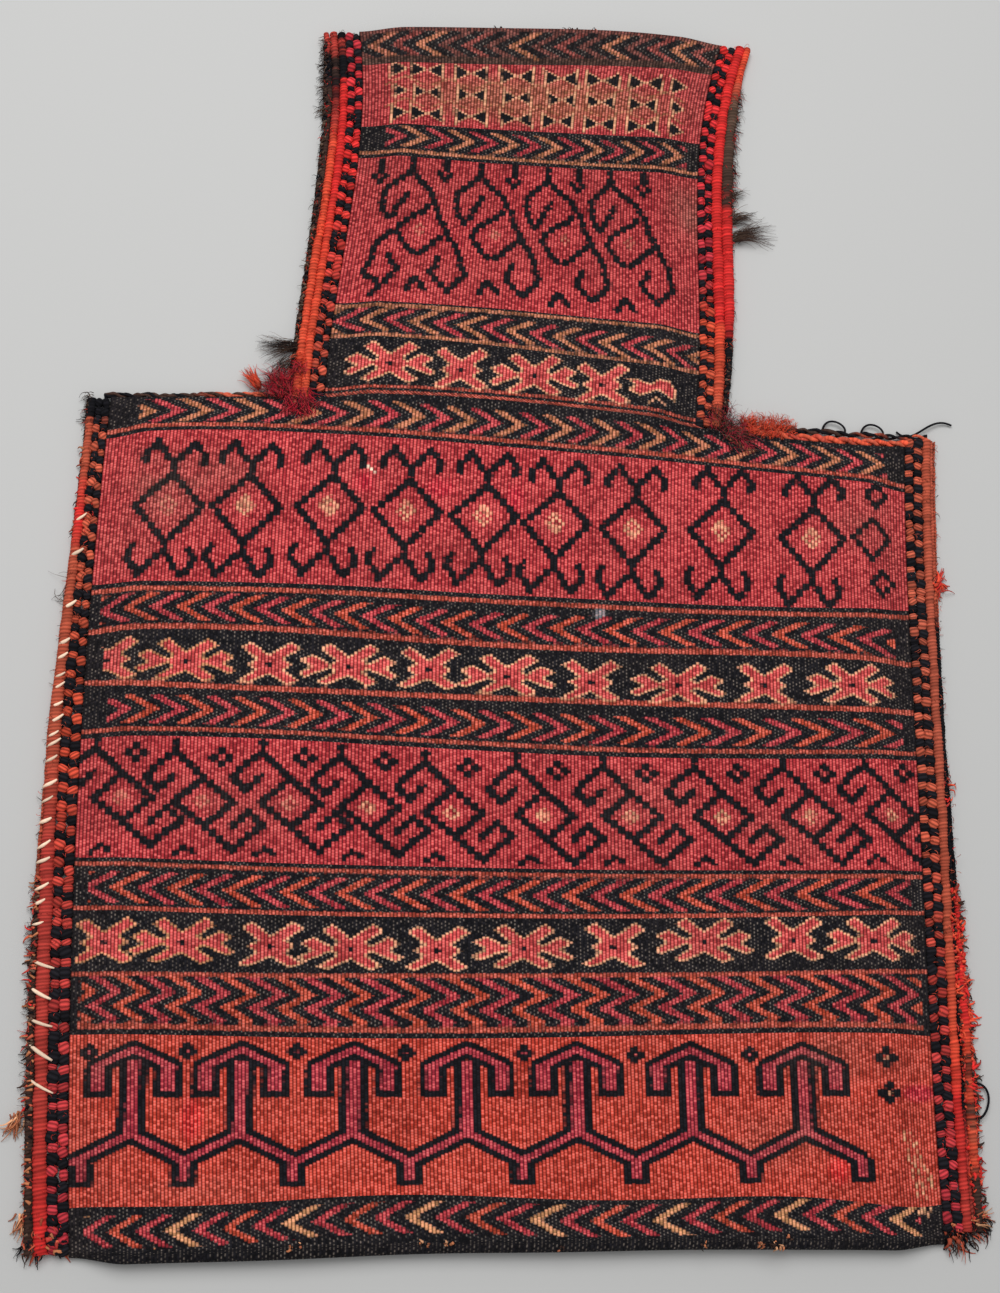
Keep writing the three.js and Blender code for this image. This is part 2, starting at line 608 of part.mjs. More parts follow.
// Evenly spaced values from a start to an end, about a step apart
function stations(from, to, step) {
  const count = Math.max(1, Math.round((to - from) / step));
  return Array.from({ length: count + 1 }, (_, i) => lerp(from, to, i / count));
}

// Horizontal place of a side of the cloth at any height, straight between its band lines
function sideLine(points) {
  return (y) => {
    const above = points.findIndex((p) => p.y >= y);
    const i = clamp(above < 0 ? points.length - 1 : above, 1, points.length - 1);
    const [a, b] = [points[i - 1], points[i]];
    return lerp(a.x, b.x, (y - a.y) / (b.y - a.y));
  };
}

// One bound side of the body or the neck: the cloth's edge, its direction and how far it is bound
function boundSide(name, side, points, from, to) {
  return { name, side, edge: sideLine(points), from, to };
}

// Binding of two columns of wraps that stand high in turn, flat below
function checkBinding({ side, edge, from, to }) {
  const half = CHECK_WIDTH / 2;
  const high = CHECK_HEIGHT + CHECK_RELIEF;
  const rings = stations(from, to, CHECK_PITCH).map((y, i) => {
    const centre = edge(y) + side * (SEAM_CLEARANCE + half);
    const [left, right] = i % 2 ? [high, CHECK_HEIGHT] : [CHECK_HEIGHT, high];
    const section = [
      [-half, 0], [half, 0], [half, CHECK_RIM], [half / 2, right], [-half / 2, left], [-half, CHECK_RIM],
    ];
    return section.map(([x, z]) => new THREE.Vector3(centre + x, y, z));
  });
  return loft(rings, (wrap, facet) => ((wrap + Math.floor(facet / 3)) % 2 ? ORANGE_RED : BLACK_WOOL));
}

// Points around a cord that lies on a facet, as offsets across and up from the floor below its axis
function cordSection(diameter) {
  const radius = diameter / 2;
  const rise = radius * Math.cos(Math.PI / CORD_SIDES);
  return Array.from({ length: CORD_SIDES }, (_, i) => {
    const angle = (Math.PI * (2 * i + 1)) / CORD_SIDES;
    return { across: radius * Math.cos(angle), up: rise + radius * Math.sin(angle) };
  });
}

// Wrapped wool cord along the outer side of a check binding
function edgeCord({ side, edge, from, to }) {
  const offset = 2 * SEAM_CLEARANCE + CHECK_WIDTH + EDGE_CORD_DIAMETER / 2;
  const section = cordSection(EDGE_CORD_DIAMETER);
  const rings = stations(from, to, EDGE_CORD_STEP).map((y) => section.map(
    ({ across, up }) => new THREE.Vector3(edge(y) + side * offset + across, y, up)));
  return loft(rings, () => ORANGE_RED);
}

// Twisted cord that edges a shoulder, between its outer corner and the neck's cord
function shoulderCord(from, to) {
  const section = cordSection(SHOULDER_CORD_DIAMETER);
  const offset = SEAM_CLEARANCE + SHOULDER_CORD_DIAMETER / 2;
  const rings = stations(from, to, SHOULDER_CORD_STEP).map((x) => section.map(
    ({ across, up }) => new THREE.Vector3(x, shoulderLine(x) + offset - across, up)));
  return loft(rings, () => ORANGE_RED);
}

const shoulderLine = (x) => lineHeight(BODY_HEIGHT, SHOULDER_TILT, x);
const BOUND_WIDTH = 3 * SEAM_CLEARANCE + CHECK_WIDTH + EDGE_CORD_DIAMETER;

function boundSides() {
  return [['left', -1], ['right', 1]].flatMap(([hand, side]) => {
    const body = BODY_ROWS.map((row) => pointOf(row, `side_${hand}`));
    const neck = [NECK_FOOT_ROW, ...NECK_ROWS].map((row) => pointOf(row, `neck_${hand}`));
    const foot = Math.max(shoulderLine(neck[0].x), shoulderLine(neck[0].x + side * BOUND_WIDTH));
    return [
      boundSide(`${hand}_body`, side, body, body[0].y - BINDING_TAIL, body[body.length - 1].y),
      boundSide(`${hand}_neck`, side, neck, foot + SEAM_CLEARANCE, neck[neck.length - 1].y),
    ];
  });
}

// Ends of a shoulder cord, from left to right
function shoulderSpans() {
  const x = (name) => pointOf(SHOULDER_ROW, name).x;
  return [
    ['left', x('side_left') + SHOULDER_CORD_INSET, x('neck_left') - BOUND_WIDTH],
    ['right', x('neck_right') + BOUND_WIDTH, x('side_right') - SHOULDER_CORD_INSET],
  ];
}

function piece(name, geometry, roughness) {
  const mesh = new THREE.Mesh(
    geometry, new THREE.MeshStandardMaterial({ vertexColors: true, roughness, metalness: 0 }));
  mesh.name = name;
  return mesh;
}

const bag = new THREE.Group();
bag.add(piece('woven_cloth', wovenCloth(), CLOTH_ROUGHNESS));
boundSides().forEach((bound) => {
  bag.add(piece(`${bound.name}_checks`, checkBinding(bound), CLOTH_ROUGHNESS));
  bag.add(piece(`${bound.name}_cord`, edgeCord(bound), CORD_ROUGHNESS));
});
shoulderSpans().forEach(([hand, from, to]) => {
  bag.add(piece(`${hand}_shoulder_cord`, shoulderCord(from, to), CORD_ROUGHNESS));
});

// The origin lies in the middle of the bag's outline, on the surface it rests on.
const box = new THREE.Box3().setFromObject(bag);
const middle = box.getCenter(new THREE.Vector3());
bag.position.set(-middle.x, -middle.y, -box.min.z);

export default bag;
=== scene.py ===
"""Looks of a flat-woven wool salt bag lying on a pale floor.

Sizes are millimetres in the bag's own plane: x to the right, y from the bottom fold to the mouth, z up from
the floor.  They turn into the frame's metres once, where a mesh is made.
"""
import logging
from collections.abc import Callable, Sequence
from dataclasses import dataclass
from enum import Enum

import bpy
import numpy as np
from mathutils import Matrix
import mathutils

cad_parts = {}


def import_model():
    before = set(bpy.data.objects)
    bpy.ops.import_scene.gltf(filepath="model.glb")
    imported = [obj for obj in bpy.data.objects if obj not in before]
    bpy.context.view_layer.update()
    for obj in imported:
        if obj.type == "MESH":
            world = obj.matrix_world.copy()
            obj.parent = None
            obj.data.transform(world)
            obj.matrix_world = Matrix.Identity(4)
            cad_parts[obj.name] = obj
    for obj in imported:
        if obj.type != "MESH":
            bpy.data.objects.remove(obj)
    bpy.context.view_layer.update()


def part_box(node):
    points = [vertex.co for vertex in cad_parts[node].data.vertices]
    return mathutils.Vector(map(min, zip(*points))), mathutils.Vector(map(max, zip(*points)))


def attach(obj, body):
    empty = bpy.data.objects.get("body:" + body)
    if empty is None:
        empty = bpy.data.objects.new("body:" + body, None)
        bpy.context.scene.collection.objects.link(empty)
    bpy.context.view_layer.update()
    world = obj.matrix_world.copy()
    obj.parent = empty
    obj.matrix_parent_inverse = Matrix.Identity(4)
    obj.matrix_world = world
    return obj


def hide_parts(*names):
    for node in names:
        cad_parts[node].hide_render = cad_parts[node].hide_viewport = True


LOG = logging.getLogger("salt_bag")
SEED = 11
MM = 0.001
Array = np.ndarray
Pair = tuple[Array, Array]
Spots = tuple[Array, ...]
Spot = tuple[float, float]
Points = Sequence[Spot]
Curve = Callable[[Array], Array]
Curves = tuple[Curve, Curve]
Thing = bpy.types.Object
Material = bpy.types.Material
Socket = bpy.types.NodeSocket


def smooth_line(points: Points, degree: int = 3) -> Curve:
    """Find the polynomial that runs nearest a few pairs of place and value."""
    places, values = np.array(points, dtype=float).T
    return np.polynomial.Polynomial.fit(places, values, min(degree, len(places) - 1))


def ease(share: Array) -> Array:
    """Turn 0 to 1 into a slow start and a slow end."""
    held = np.clip(share, 0.0, 1.0)
    return held * held * (3.0 - 2.0 * held)


def linear_light(colour: Sequence[int]) -> Array:
    """Turn a display colour, from 0 to 255, into linear light."""
    share = np.array(colour) / 255.0
    return np.where(share <= 0.04045, share / 12.92, ((share + 0.055) / 1.055) ** 2.4)


class Yarn(Enum):
    """Yarns of the bag, and the colour of a painted highlight, as display colours: red, green and blue from 0
    to 255.
    """

    CRIMSON = (172, 48, 54)
    ORANGE = (184, 58, 43)
    CHEVRON_RED = (168, 48, 58)
    CHEVRON_ORANGE = (182, 68, 46)
    RULE_ORANGE = (164, 66, 50)
    STAR_RED = (190, 66, 66)
    TREE_RED = (164, 46, 60)
    BRIGHT_RED = (206, 46, 44)
    BRIGHT_ORANGE = (214, 84, 58)
    PATCH_RED = (184, 34, 52)
    CORD_ORANGE = (178, 82, 60)
    CORD_RED = (174, 60, 52)
    NECK_ORANGE = (214, 76, 52)
    DULL_ORANGE = (172, 84, 64)
    BLACK = (20, 19, 23)
    BROWN = (62, 44, 38)
    HAIR_BROWN = (92, 72, 60)
    DUSTY = (158, 92, 66)
    MOUTH_RED = (134, 58, 54)
    MOUTH_DIM = (100, 52, 48)
    CREAM = (218, 160, 120)
    TAN = (174, 108, 74)
    PALE_TAN = (200, 140, 96)
    LINT = (112, 116, 122)
    WHITE = (234, 206, 180)
    SPECK = (156, 142, 132)
    # Not a yarn: the colour of the painted highlight on the tops of light beads.
    PAINTED_HIGHLIGHT = (228, 142, 130)
    HEART_PALE = (216, 150, 116)
    HEART_DIM = (186, 104, 86)
    BACK_RED = (126, 50, 46)
    BACK_BROWN = (92, 54, 44)

    @property
    def linear(self) -> Array:
        """The colour as linear light."""
        return linear_light(self.value)


class Wander:
    """Seeded smooth variation over the bag's plane."""

    def __init__(self, seed: int) -> None:
        """Start the random numbers at a seed."""
        self.rng = np.random.default_rng(seed)

    def over(self, x: Array, y: Array, cell: float) -> Array:
        """Vary smoothly: random values on a square lattice, blended slowly from corner to corner.

        Args:
            x: places across the bag.
            y: places up the bag.
            cell: lattice size.

        Returns:
            Values from -1 to 1, one for each place.
        """
        u = (x - x.min()) / cell
        v = (y - y.min()) / cell
        column = np.floor(u).astype(int)
        row = np.floor(v).astype(int)
        lattice = self.rng.uniform(-1.0, 1.0, (row.max() + 2, column.max() + 2))
        a = ease(u - column)
        b = ease(v - row)
        low = lattice[row, column] * (1 - a) + lattice[row, column + 1] * a
        high = lattice[row + 1, column] * (1 - a) + lattice[row + 1, column + 1] * a
        return low * (1 - b) + high * b


BODY_LEFT = smooth_line(((0, -208), (60, -210.5), (150, -214), (210, -217), (310, -213.5), (408, -211)))
BODY_RIGHT = smooth_line(((0, 200.5), (60, 199.6), (100, 200.5), (200, 202.5), (260, 203), (320, 204),
                          (380, 207), (408, 208.5)), 4)
NECK_LEFT = smooth_line(((414, -102), (480, -96), (530, -90), (560, -85.5), (610, -86), (635, -87)))
NECK_RIGHT = smooth_line(((414, 95), (430, 96), (465, 99), (500, 99), (555, 99.5), (595, 106), (638, 116)))
LEFT_BODY_EDGE = smooth_line(((-4, -227), (20, -229), (60, -231), (120, -232), (190, -232.5),
                              (240, -231.5), (300, -227.5), (340, -225), (400, -222.5)), 4)
RIGHT_BODY_EDGE = smooth_line(((0, 220), (60, 221), (120, 220), (180, 220.5), (240, 220), (300, 220.5),
                               (350, 222.5), (380, 224.8), (410, 226)), 4)
LEFT_NECK_EDGE = smooth_line(((416, -121), (445, -118.5), (490, -113), (520, -111), (560, -106.5),
                              (595, -106), (632, -106.5)))
RIGHT_NECK_EDGE = smooth_line(((408, 110), (420, 111.5), (450, 116), (500, 119), (550, 119), (590, 124),
                               (640, 134)))

BODY_LINES = (
    smooth_line(((-205, -4), (-100, -1.5), (0, -0.5), (130, -0.4), (170, -1.0), (200, -2.6))),
    smooth_line(((-205, 15.5), (-179, 15.6), (-151, 16.3), (-123, 17.4), (-95, 18.9), (-66, 19.5),
                 (-37, 20.2), (-13, 19.4), (9, 17.9), (31, 16.4), (53, 16.3), (76, 18.4), (98, 18.7),
                 (128, 17), (166, 14.6), (196, 13)), 8),
    smooth_line(((-205, 92), (-120, 91), (-50, 90), (0, 90.8), (60, 92), (140, 93.4), (195, 92.5)), 4),
    smooth_line(((-205, 121), (0, 121), (195, 124.5))),
    smooth_line(((-205, 149.5), (0, 147), (195, 151))),
    smooth_line(((-205, 174.5), (0, 171), (195, 173))),
    smooth_line(((-205, 232.8), (-100, 231.8), (-20, 229.2), (50, 227.2), (80, 226.8), (130, 228),
                 (195, 229.4)), 4),
    smooth_line(((-205, 258.5), (0, 254), (195, 253))),
    smooth_line(((-205, 285.5), (-90, 285), (-30, 283), (10, 280.8), (45, 280.4), (90, 281), (195, 279)), 4),
    smooth_line(((-205, 311), (-100, 312), (0, 309.5), (195, 309))),
    smooth_line(((-200, 390.2), (-151, 392.4), (-115, 394.6), (-60, 392.6), (0, 389), (100, 383.6),
                 (146, 380.6), (195, 376.2)), 4),
    smooth_line(((-212, 411.5), (-150, 414.4), (-103, 416.5), (0, 414.5), (93, 409), (132, 403.2),
                 (166, 401.6), (204, 401.4)), 4),
)
NECK_LINES = (
    BODY_LINES[-1],
    smooth_line(((-95, 449.7), (-40, 448), (0, 445), (40, 442), (100, 437.8))),
    smooth_line(((-95, 470), (0, 467), (100, 462))),
    smooth_line(((-95, 557), (-40, 555.2), (0, 552.8), (55, 554.4), (100, 555))),
    smooth_line(((-95, 576), (0, 575.5), (100, 577))),
    smooth_line(((-95, 613.5), (-40, 616), (0, 618.6), (50, 620.4), (105, 621.4))),
    smooth_line(((-106, 633), (-50, 638.5), (0, 641.5), (60, 643.5), (110, 641), (130, 639.5))),
)


class Layer:
    """Figures on one level of the weave.

    Each crossing keeps a yarn and its distance outside the figure that it lies deepest in, so that an edge
    may fall anywhere between two crossings.
    """

    FAR = 4.0

    def __init__(self, shape: tuple[int, ...]) -> None:
        """Start with no figure."""
        self.colour = np.zeros((*shape, 3))
        self.edge = np.full(shape, self.FAR)

    def add(self, spots: Spots, distance: Array, yarn: Yarn) -> None:
        """Join a figure to the layer.

        Args:
            spots: row and column numbers round the figure.
            distance: how far outside its edge each of them lies.
            yarn: its yarn.
        """
        nearer = distance < self.edge[spots]
        rows, columns = (numbers[nearer] for numbers in spots)
        self.edge[rows, columns] = distance[nearer]
        self.colour[rows, columns] = yarn.linear

    def spread(self, distance: Array, colour: Array) -> None:
        """Join figures that run along the whole band, with a colour for each crossing or for all."""
        nearer = distance < self.edge
        self.edge = np.where(nearer, distance, self.edge)
        self.colour = np.where(nearer[..., None], colour, self.colour)

    def clip(self, distance: Array) -> None:
        """Cut every figure back to where a distance is below zero."""
        self.edge = np.maximum(self.edge, distance)

    def packed(self, jitter: Array) -> Array:
        """Turn the distance, with some jitter, into a number from 0 deep inside to 1 far outside."""
        return np.clip(0.5 + (self.edge + jitter) / (2 * self.FAR), 0.0, 1.0)


@dataclass(frozen=True)
class Beat:
    """How arrows follow one another: where number zero is, their pitch, and how the weaver's pitch drifts.

    The drift is a square and a cube of the place across in hundreds of millimetres.
    """

    tip: float
    pitch: float
    bend: float = 0.0
    twist: float = 0.0

    def number(self, x: Array, offset: Array) -> Array:
        """Count arrows up to a place, less how far a slant has moved them."""
        drift = self.bend * (x / 100.0) ** 2 + self.twist * (x / 100.0) ** 3
        return (x - self.tip - drift - offset) / self.pitch


class Canvas:
    """The crossings of one woven band: its ground and two layers of figures."""

    BEAD = 4.6
    BEAD_NECK = 0.23

    def __init__(self, x: Array, y: Array, low: Curve, high: Curve, ground: Yarn) -> None:
        """Lay out a band.

        Args:
            x: places across the bag, one row for each line of crossings.
            y: places up the bag.
            low: the band's lower line.
            high: the band's upper line.
            ground: the yarn of the plain band.
        """
        self.x = x
        self.y = y
        self.v = y - low(x)
        self.w = high(x) - y
        self.rib = np.broadcast_to(np.arange(x.shape[1]), x.shape)
        self.colour = np.broadcast_to(ground.linear, (*x.shape, 3)).copy()
        self.dark_ground = ground is Yarn.BLACK
        self.under = Layer(x.shape)
        self.over = Layer(x.shape)

    def near(self, points: Array, reach: float) -> Spots:
        """Find the row and column numbers of the crossings within reach of a shape's corners."""
        low, high = points.min(axis=0) - reach, points.max(axis=0) + reach
        return np.nonzero((self.x > low[0]) & (self.x < high[0]) & (self.y > low[1]) & (self.y < high[1]))

    def layer(self, over: bool) -> Layer:
        """Give the upper or the lower layer of figures."""
        return self.over if over else self.under

    def edge_distance(self, spots: Spots, points: Array) -> Pair:
        """Measure how far crossings are from a broken line: the least distance to any of its straight runs.

        Args:
            spots: row and column numbers.
            points: corners of the line.

        Returns:
            For each crossing its distance, and how far along the line its nearest point lies.
        """
        place = np.stack((self.x[spots], self.y[spots]), axis=-1)[:, None, :]
        start = points[None, :-1]
        run = points[None, 1:] - start
        length = np.sqrt((run * run).sum(-1))
        along = ((place - start) * run).sum(-1) / np.maximum(length * length, 1e-9)
        along = np.clip(along, 0.0, 1.0)
        gap = place - start - along[..., None] * run
        distance = np.sqrt((gap * gap).sum(-1))
        nearest = distance.argmin(axis=1)
        pick = np.arange(len(nearest))
        travelled = (np.cumsum(length) - length[0])[nearest] + along[pick, nearest] * length[0, nearest]
        return distance[pick, nearest], travelled

    def stain(self, centre: Spot, wide: float, tall: float, yarn: Yarn) -> None:
        """Let another yarn show softly in the ground, over a full width and height."""
        reach = np.hypot((self.x - centre[0]) / (wide / 2), (self.y - centre[1]) / (tall / 2))
        self.colour += (yarn.linear - self.colour) * ease(1.6 - reach)[..., None]

    def stroke(self, points: Points, width: float, yarn: Yarn, at: Spot = (0.0, 0.0),
               beaded: bool = False, over: bool = False) -> None:
        """Weave a broken line, even or as a chain of round beads on a thinner line.

        Args:
            points: corners of the line.
            width: full width.
            yarn: its yarn.
            at: where the line's own zero lies.
            beaded: whether it is a chain of beads.
            over: whether it lies in the upper layer.
        """
        corners = np.array(points, dtype=float) + at
        spots = self.near(corners, width / 2 + Layer.FAR)
        distance, travelled = self.edge_distance(spots, corners)
        edge = distance - width / 2
        if beaded:
            aside = (travelled + self.BEAD / 2) % self.BEAD - self.BEAD / 2
            edge = np.minimum(np.hypot(distance, aside) - width / 2, distance - width * self.BEAD_NECK)
        self.layer(over).add(spots, edge, yarn)

    def shape(self, points: Points, fill: Yarn, at: Spot = (0.0, 0.0), rim: Yarn | None = None,
              rim_width: float = 0.0, over: bool = False) -> None:
        """Weave a filled shape; one with a rim lies in both layers.

        A crossing is inside when a line drawn to the right of it meets the edge an odd number of times.

        Args:
            points: corners of the shape.
            fill: its yarn.
            at: where the shape's own zero lies.
            rim: yarn of the rim.
            rim_width: width of the rim.
            over: whether a shape with no rim lies in the upper layer.
        """
        corners = np.array(points, dtype=float) + at
        closed = np.vstack((corners, corners[:1]))
        spots = self.near(corners, Layer.FAR)
        x = self.x[spots][:, None]
        y = self.y[spots][:, None]
        start = closed[None, :-1]
        end = closed[None, 1:]
        spans = (start[..., 1] > y) != (end[..., 1] > y)
        rise = np.where(np.abs(end[..., 1] - start[..., 1]) < 1e-9, 1e-9, end[..., 1] - start[..., 1])
        meets = start[..., 0] + (y - start[..., 1]) / rise * (end[..., 0] - start[..., 0])
        inside = (spans & (x < meets)).sum(axis=1) % 2 == 1
        distance = self.edge_distance(spots, closed)[0] * np.where(inside, -1.0, 1.0)
        if rim is not None:
            self.under.add(spots, distance, rim)
        self.layer(over or rim is not None).add(spots, distance + rim_width, fill)

    def round_distance(self, spots: Spots, centre: Spot, wide: float, tall: float) -> Array:
        """Measure about how far crossings are outside a rounded spot of a full width and height."""
        across, upward = (self.x[spots] - centre[0]) / (wide / 2), (self.y[spots] - centre[1]) / (tall / 2)
        return (np.hypot(across, upward) - 1.0) * min(wide, tall) / 2

    def blob(self, centre: Spot, wide: float, tall: float, yarn: Yarn, over: bool = False) -> None:
        """Weave a rounded spot of a full width and height in the lower or the upper layer."""
        spots = self.near(np.array([centre], dtype=float), max(wide, tall) + Layer.FAR)
        self.layer(over).add(spots, self.round_distance(spots, centre, wide, tall), yarn)

    def pierce(self, centre: Spot, wide: float, tall: float, yarn: Yarn) -> None:
        """Let a yarn show through a rounded hole in the upper layer.

        Args:
            centre: the hole's middle.
            wide: full width.
            tall: full height.
            yarn: the yarn below.
        """
        spots = self.near(np.array([centre], dtype=float), max(wide, tall))
        distance = self.round_distance(spots, centre, wide, tall)
        self.over.edge[spots] = np.maximum(self.over.edge[spots], -distance)
        close = distance < 1.5
        self.under.colour[spots[0][close], spots[1][close]] = yarn.linear

    def rule(self, level: float, width: float, yarn: Yarn, top: bool = False) -> None:
        """Weave a line along the band, at a level above its lower line or below its upper one."""
        height = self.w if top else self.v
        self.under.spread(np.abs(height - level) - width / 2, yarn.linear)

    def plain_ends(self, left: float, right: float) -> None:
        """Leave the band's two ends plain, outside two places across."""
        outside = np.maximum(left - self.x, self.x - right)
        self.under.clip(outside)
        self.over.clip(outside)

    def arrows(self, low: float, high: float, beat: Beat, offset: Array, yarns: Sequence[Yarn],
               slope: float = 2.0, duty: float = 0.44) -> None:
        """Weave slanting stripes, one yarn after another: yarn shows near each whole number of the beat.

        Args:
            low: where the stripes start above the band's lower line.
            high: where they end.
            beat: how the stripes follow one another.
            offset: how far the slant has moved each crossing's stripe.
            yarns: yarns in turn.
            slope: how far a stripe moves across for each millimetre up.
            duty: share of the pitch that is coloured.
        """
        number = beat.number(self.x, offset)
        whole = np.round(number).astype(int)
        edge = (np.abs(number - whole) - duty / 2) * beat.pitch / np.hypot(1.0, slope)
        edge = np.maximum(edge, np.maximum(low - self.v, self.v - high))
        colours = np.array([yarn.linear for yarn in yarns])[whole % len(yarns)]
        self.under.spread(edge, colours)

    def chevrons(self, low: float, high: float, beat: Beat, point: int, yarns: Sequence[Yarn],
                 slope: float = 2.0, duty: float = 0.42) -> None:
        """Weave nested arrowheads with tips to the right (point 1) or to the left (point -1)."""
        offset = -point * slope * np.abs(self.v - (low + high) / 2)
        self.arrows(low, high, beat, offset, yarns, slope, duty)


class Motif:
    """Shapes that come back along the bands, round their own middles."""

    STAR = ((0, 5.2), (10.5, 12), (15.8, 8.6), (7.2, 3), (12, 0.2), (7.2, -2.8), (15.6, -8), (9, -10),
            (0, -5), (-10.8, -9.6), (-15.8, -8.2), (-6.4, -2.6), (-11.6, 0.2), (-6, 2.8), (-14.2, 8.8),
            (-8.6, 11.8))
    ARROWHEAD = ((8.5, 0.9), (18, 5.8), (25, 2.9), (19, -0.5), (26, -3.9), (22, -6), (8.5, -0.9))
    FISH = ((-17, 4.4), (-11, 0.8), (-16.4, -1.4), (-9.3, -5), (0.8, -1.4), (9.8, -6.4), (11, 0.6),
            (7, 5), (1.2, 5), (-3.4, 1.9), (-11, 4.6))
    DIAMOND = ((0, -19), (18, 0), (3, 17), (-15.5, 0), (0, -19))
    STEMS = (((3.3, 16), (3.5, 24)), ((0, -19), (0, -26)))
    ANTLERS = (
        ((3.5, 23), (-0.5, 27), (-5, 34.5), (-9, 29.5), (-12.5, 27), (-10.5, 23)),
        ((3.5, 23), (7, 27), (10.5, 30.5), (14, 34), (17, 29), (19.5, 26), (16.5, 22)),
        ((0, -24), (-4.5, -27), (-8, -31), (-13, -36), (-16, -30), (-19, -26.5), (-15.5, -21)),
        ((0, -24), (3, -28), (5, -32.5), (9, -36.5), (12, -32), (15, -28.5), (12.5, -23)),
    )
    HOOK = (
        ((0, 1), (0, -4), (-3.5, -6), (-7.5, -9), (-11.5, -13), (-14.5, -17), (-9.5, -19.5), (-8, -22.5),
         (-4.5, -19), (-0.5, -15)),
        ((0, -4), (3.5, -7), (7.5, -10.5), (14, -17), (21.5, -23), (28, -28.5), (24.5, -31), (20.5, -35),
         (14.5, -39)),
        ((12.5, -17), (6.5, -22.5), (-0.5, -28), (6.5, -33.5), (13.5, -39), (20.5, -45), (28, -51.5),
         (35.5, -44.5), (42.5, -39.5), (35.5, -33), (28.5, -39), (27, -41)),
    )
    NECK_HOOK = (
        ((0, 4), (0, -2), (-3, -5), (-7, -8), (-11, -11), (-14, -13), (-16, -17), (-16.5, -22), (-16, -26),
         (-13, -31), (-10.5, -29), (-8.5, -24.5), (-6, -21), (-2.5, -16)),
        ((0, -2), (1, -4), (3, -8), (6, -11), (9, -14), (10.5, -17), (10.5, -20), (12.5, -23), (14, -31),
         (16, -34.5), (18, -38.5), (19, -42.5), (21.5, -45), (23, -49), (25, -52), (25, -58), (27.5, -63),
         (24, -67), (18, -73), (14.5, -69), (11.5, -66), (9, -62), (12, -58.5), (13, -54.5)),
        ((7.5, -24), (5, -27), (1, -29), (-4, -32.5), (-7, -35.5), (-8.5, -39), (-7, -42.5), (-3, -49),
         (0, -51), (2.5, -51.5), (6, -50), (9, -46.5), (12, -44), (18, -39)),
    )
    NECK_REST = (
        ((-69, 510), (-73, 506.5), (-77.5, 503), (-78.5, 498), (-79.5, 493), (-83, 489.5), (-83, 486),
         (-77, 482)),
        ((-70, 496), (-68, 492), (-65.5, 489), (-70, 483), (-75, 478), (-79, 474)),
    )


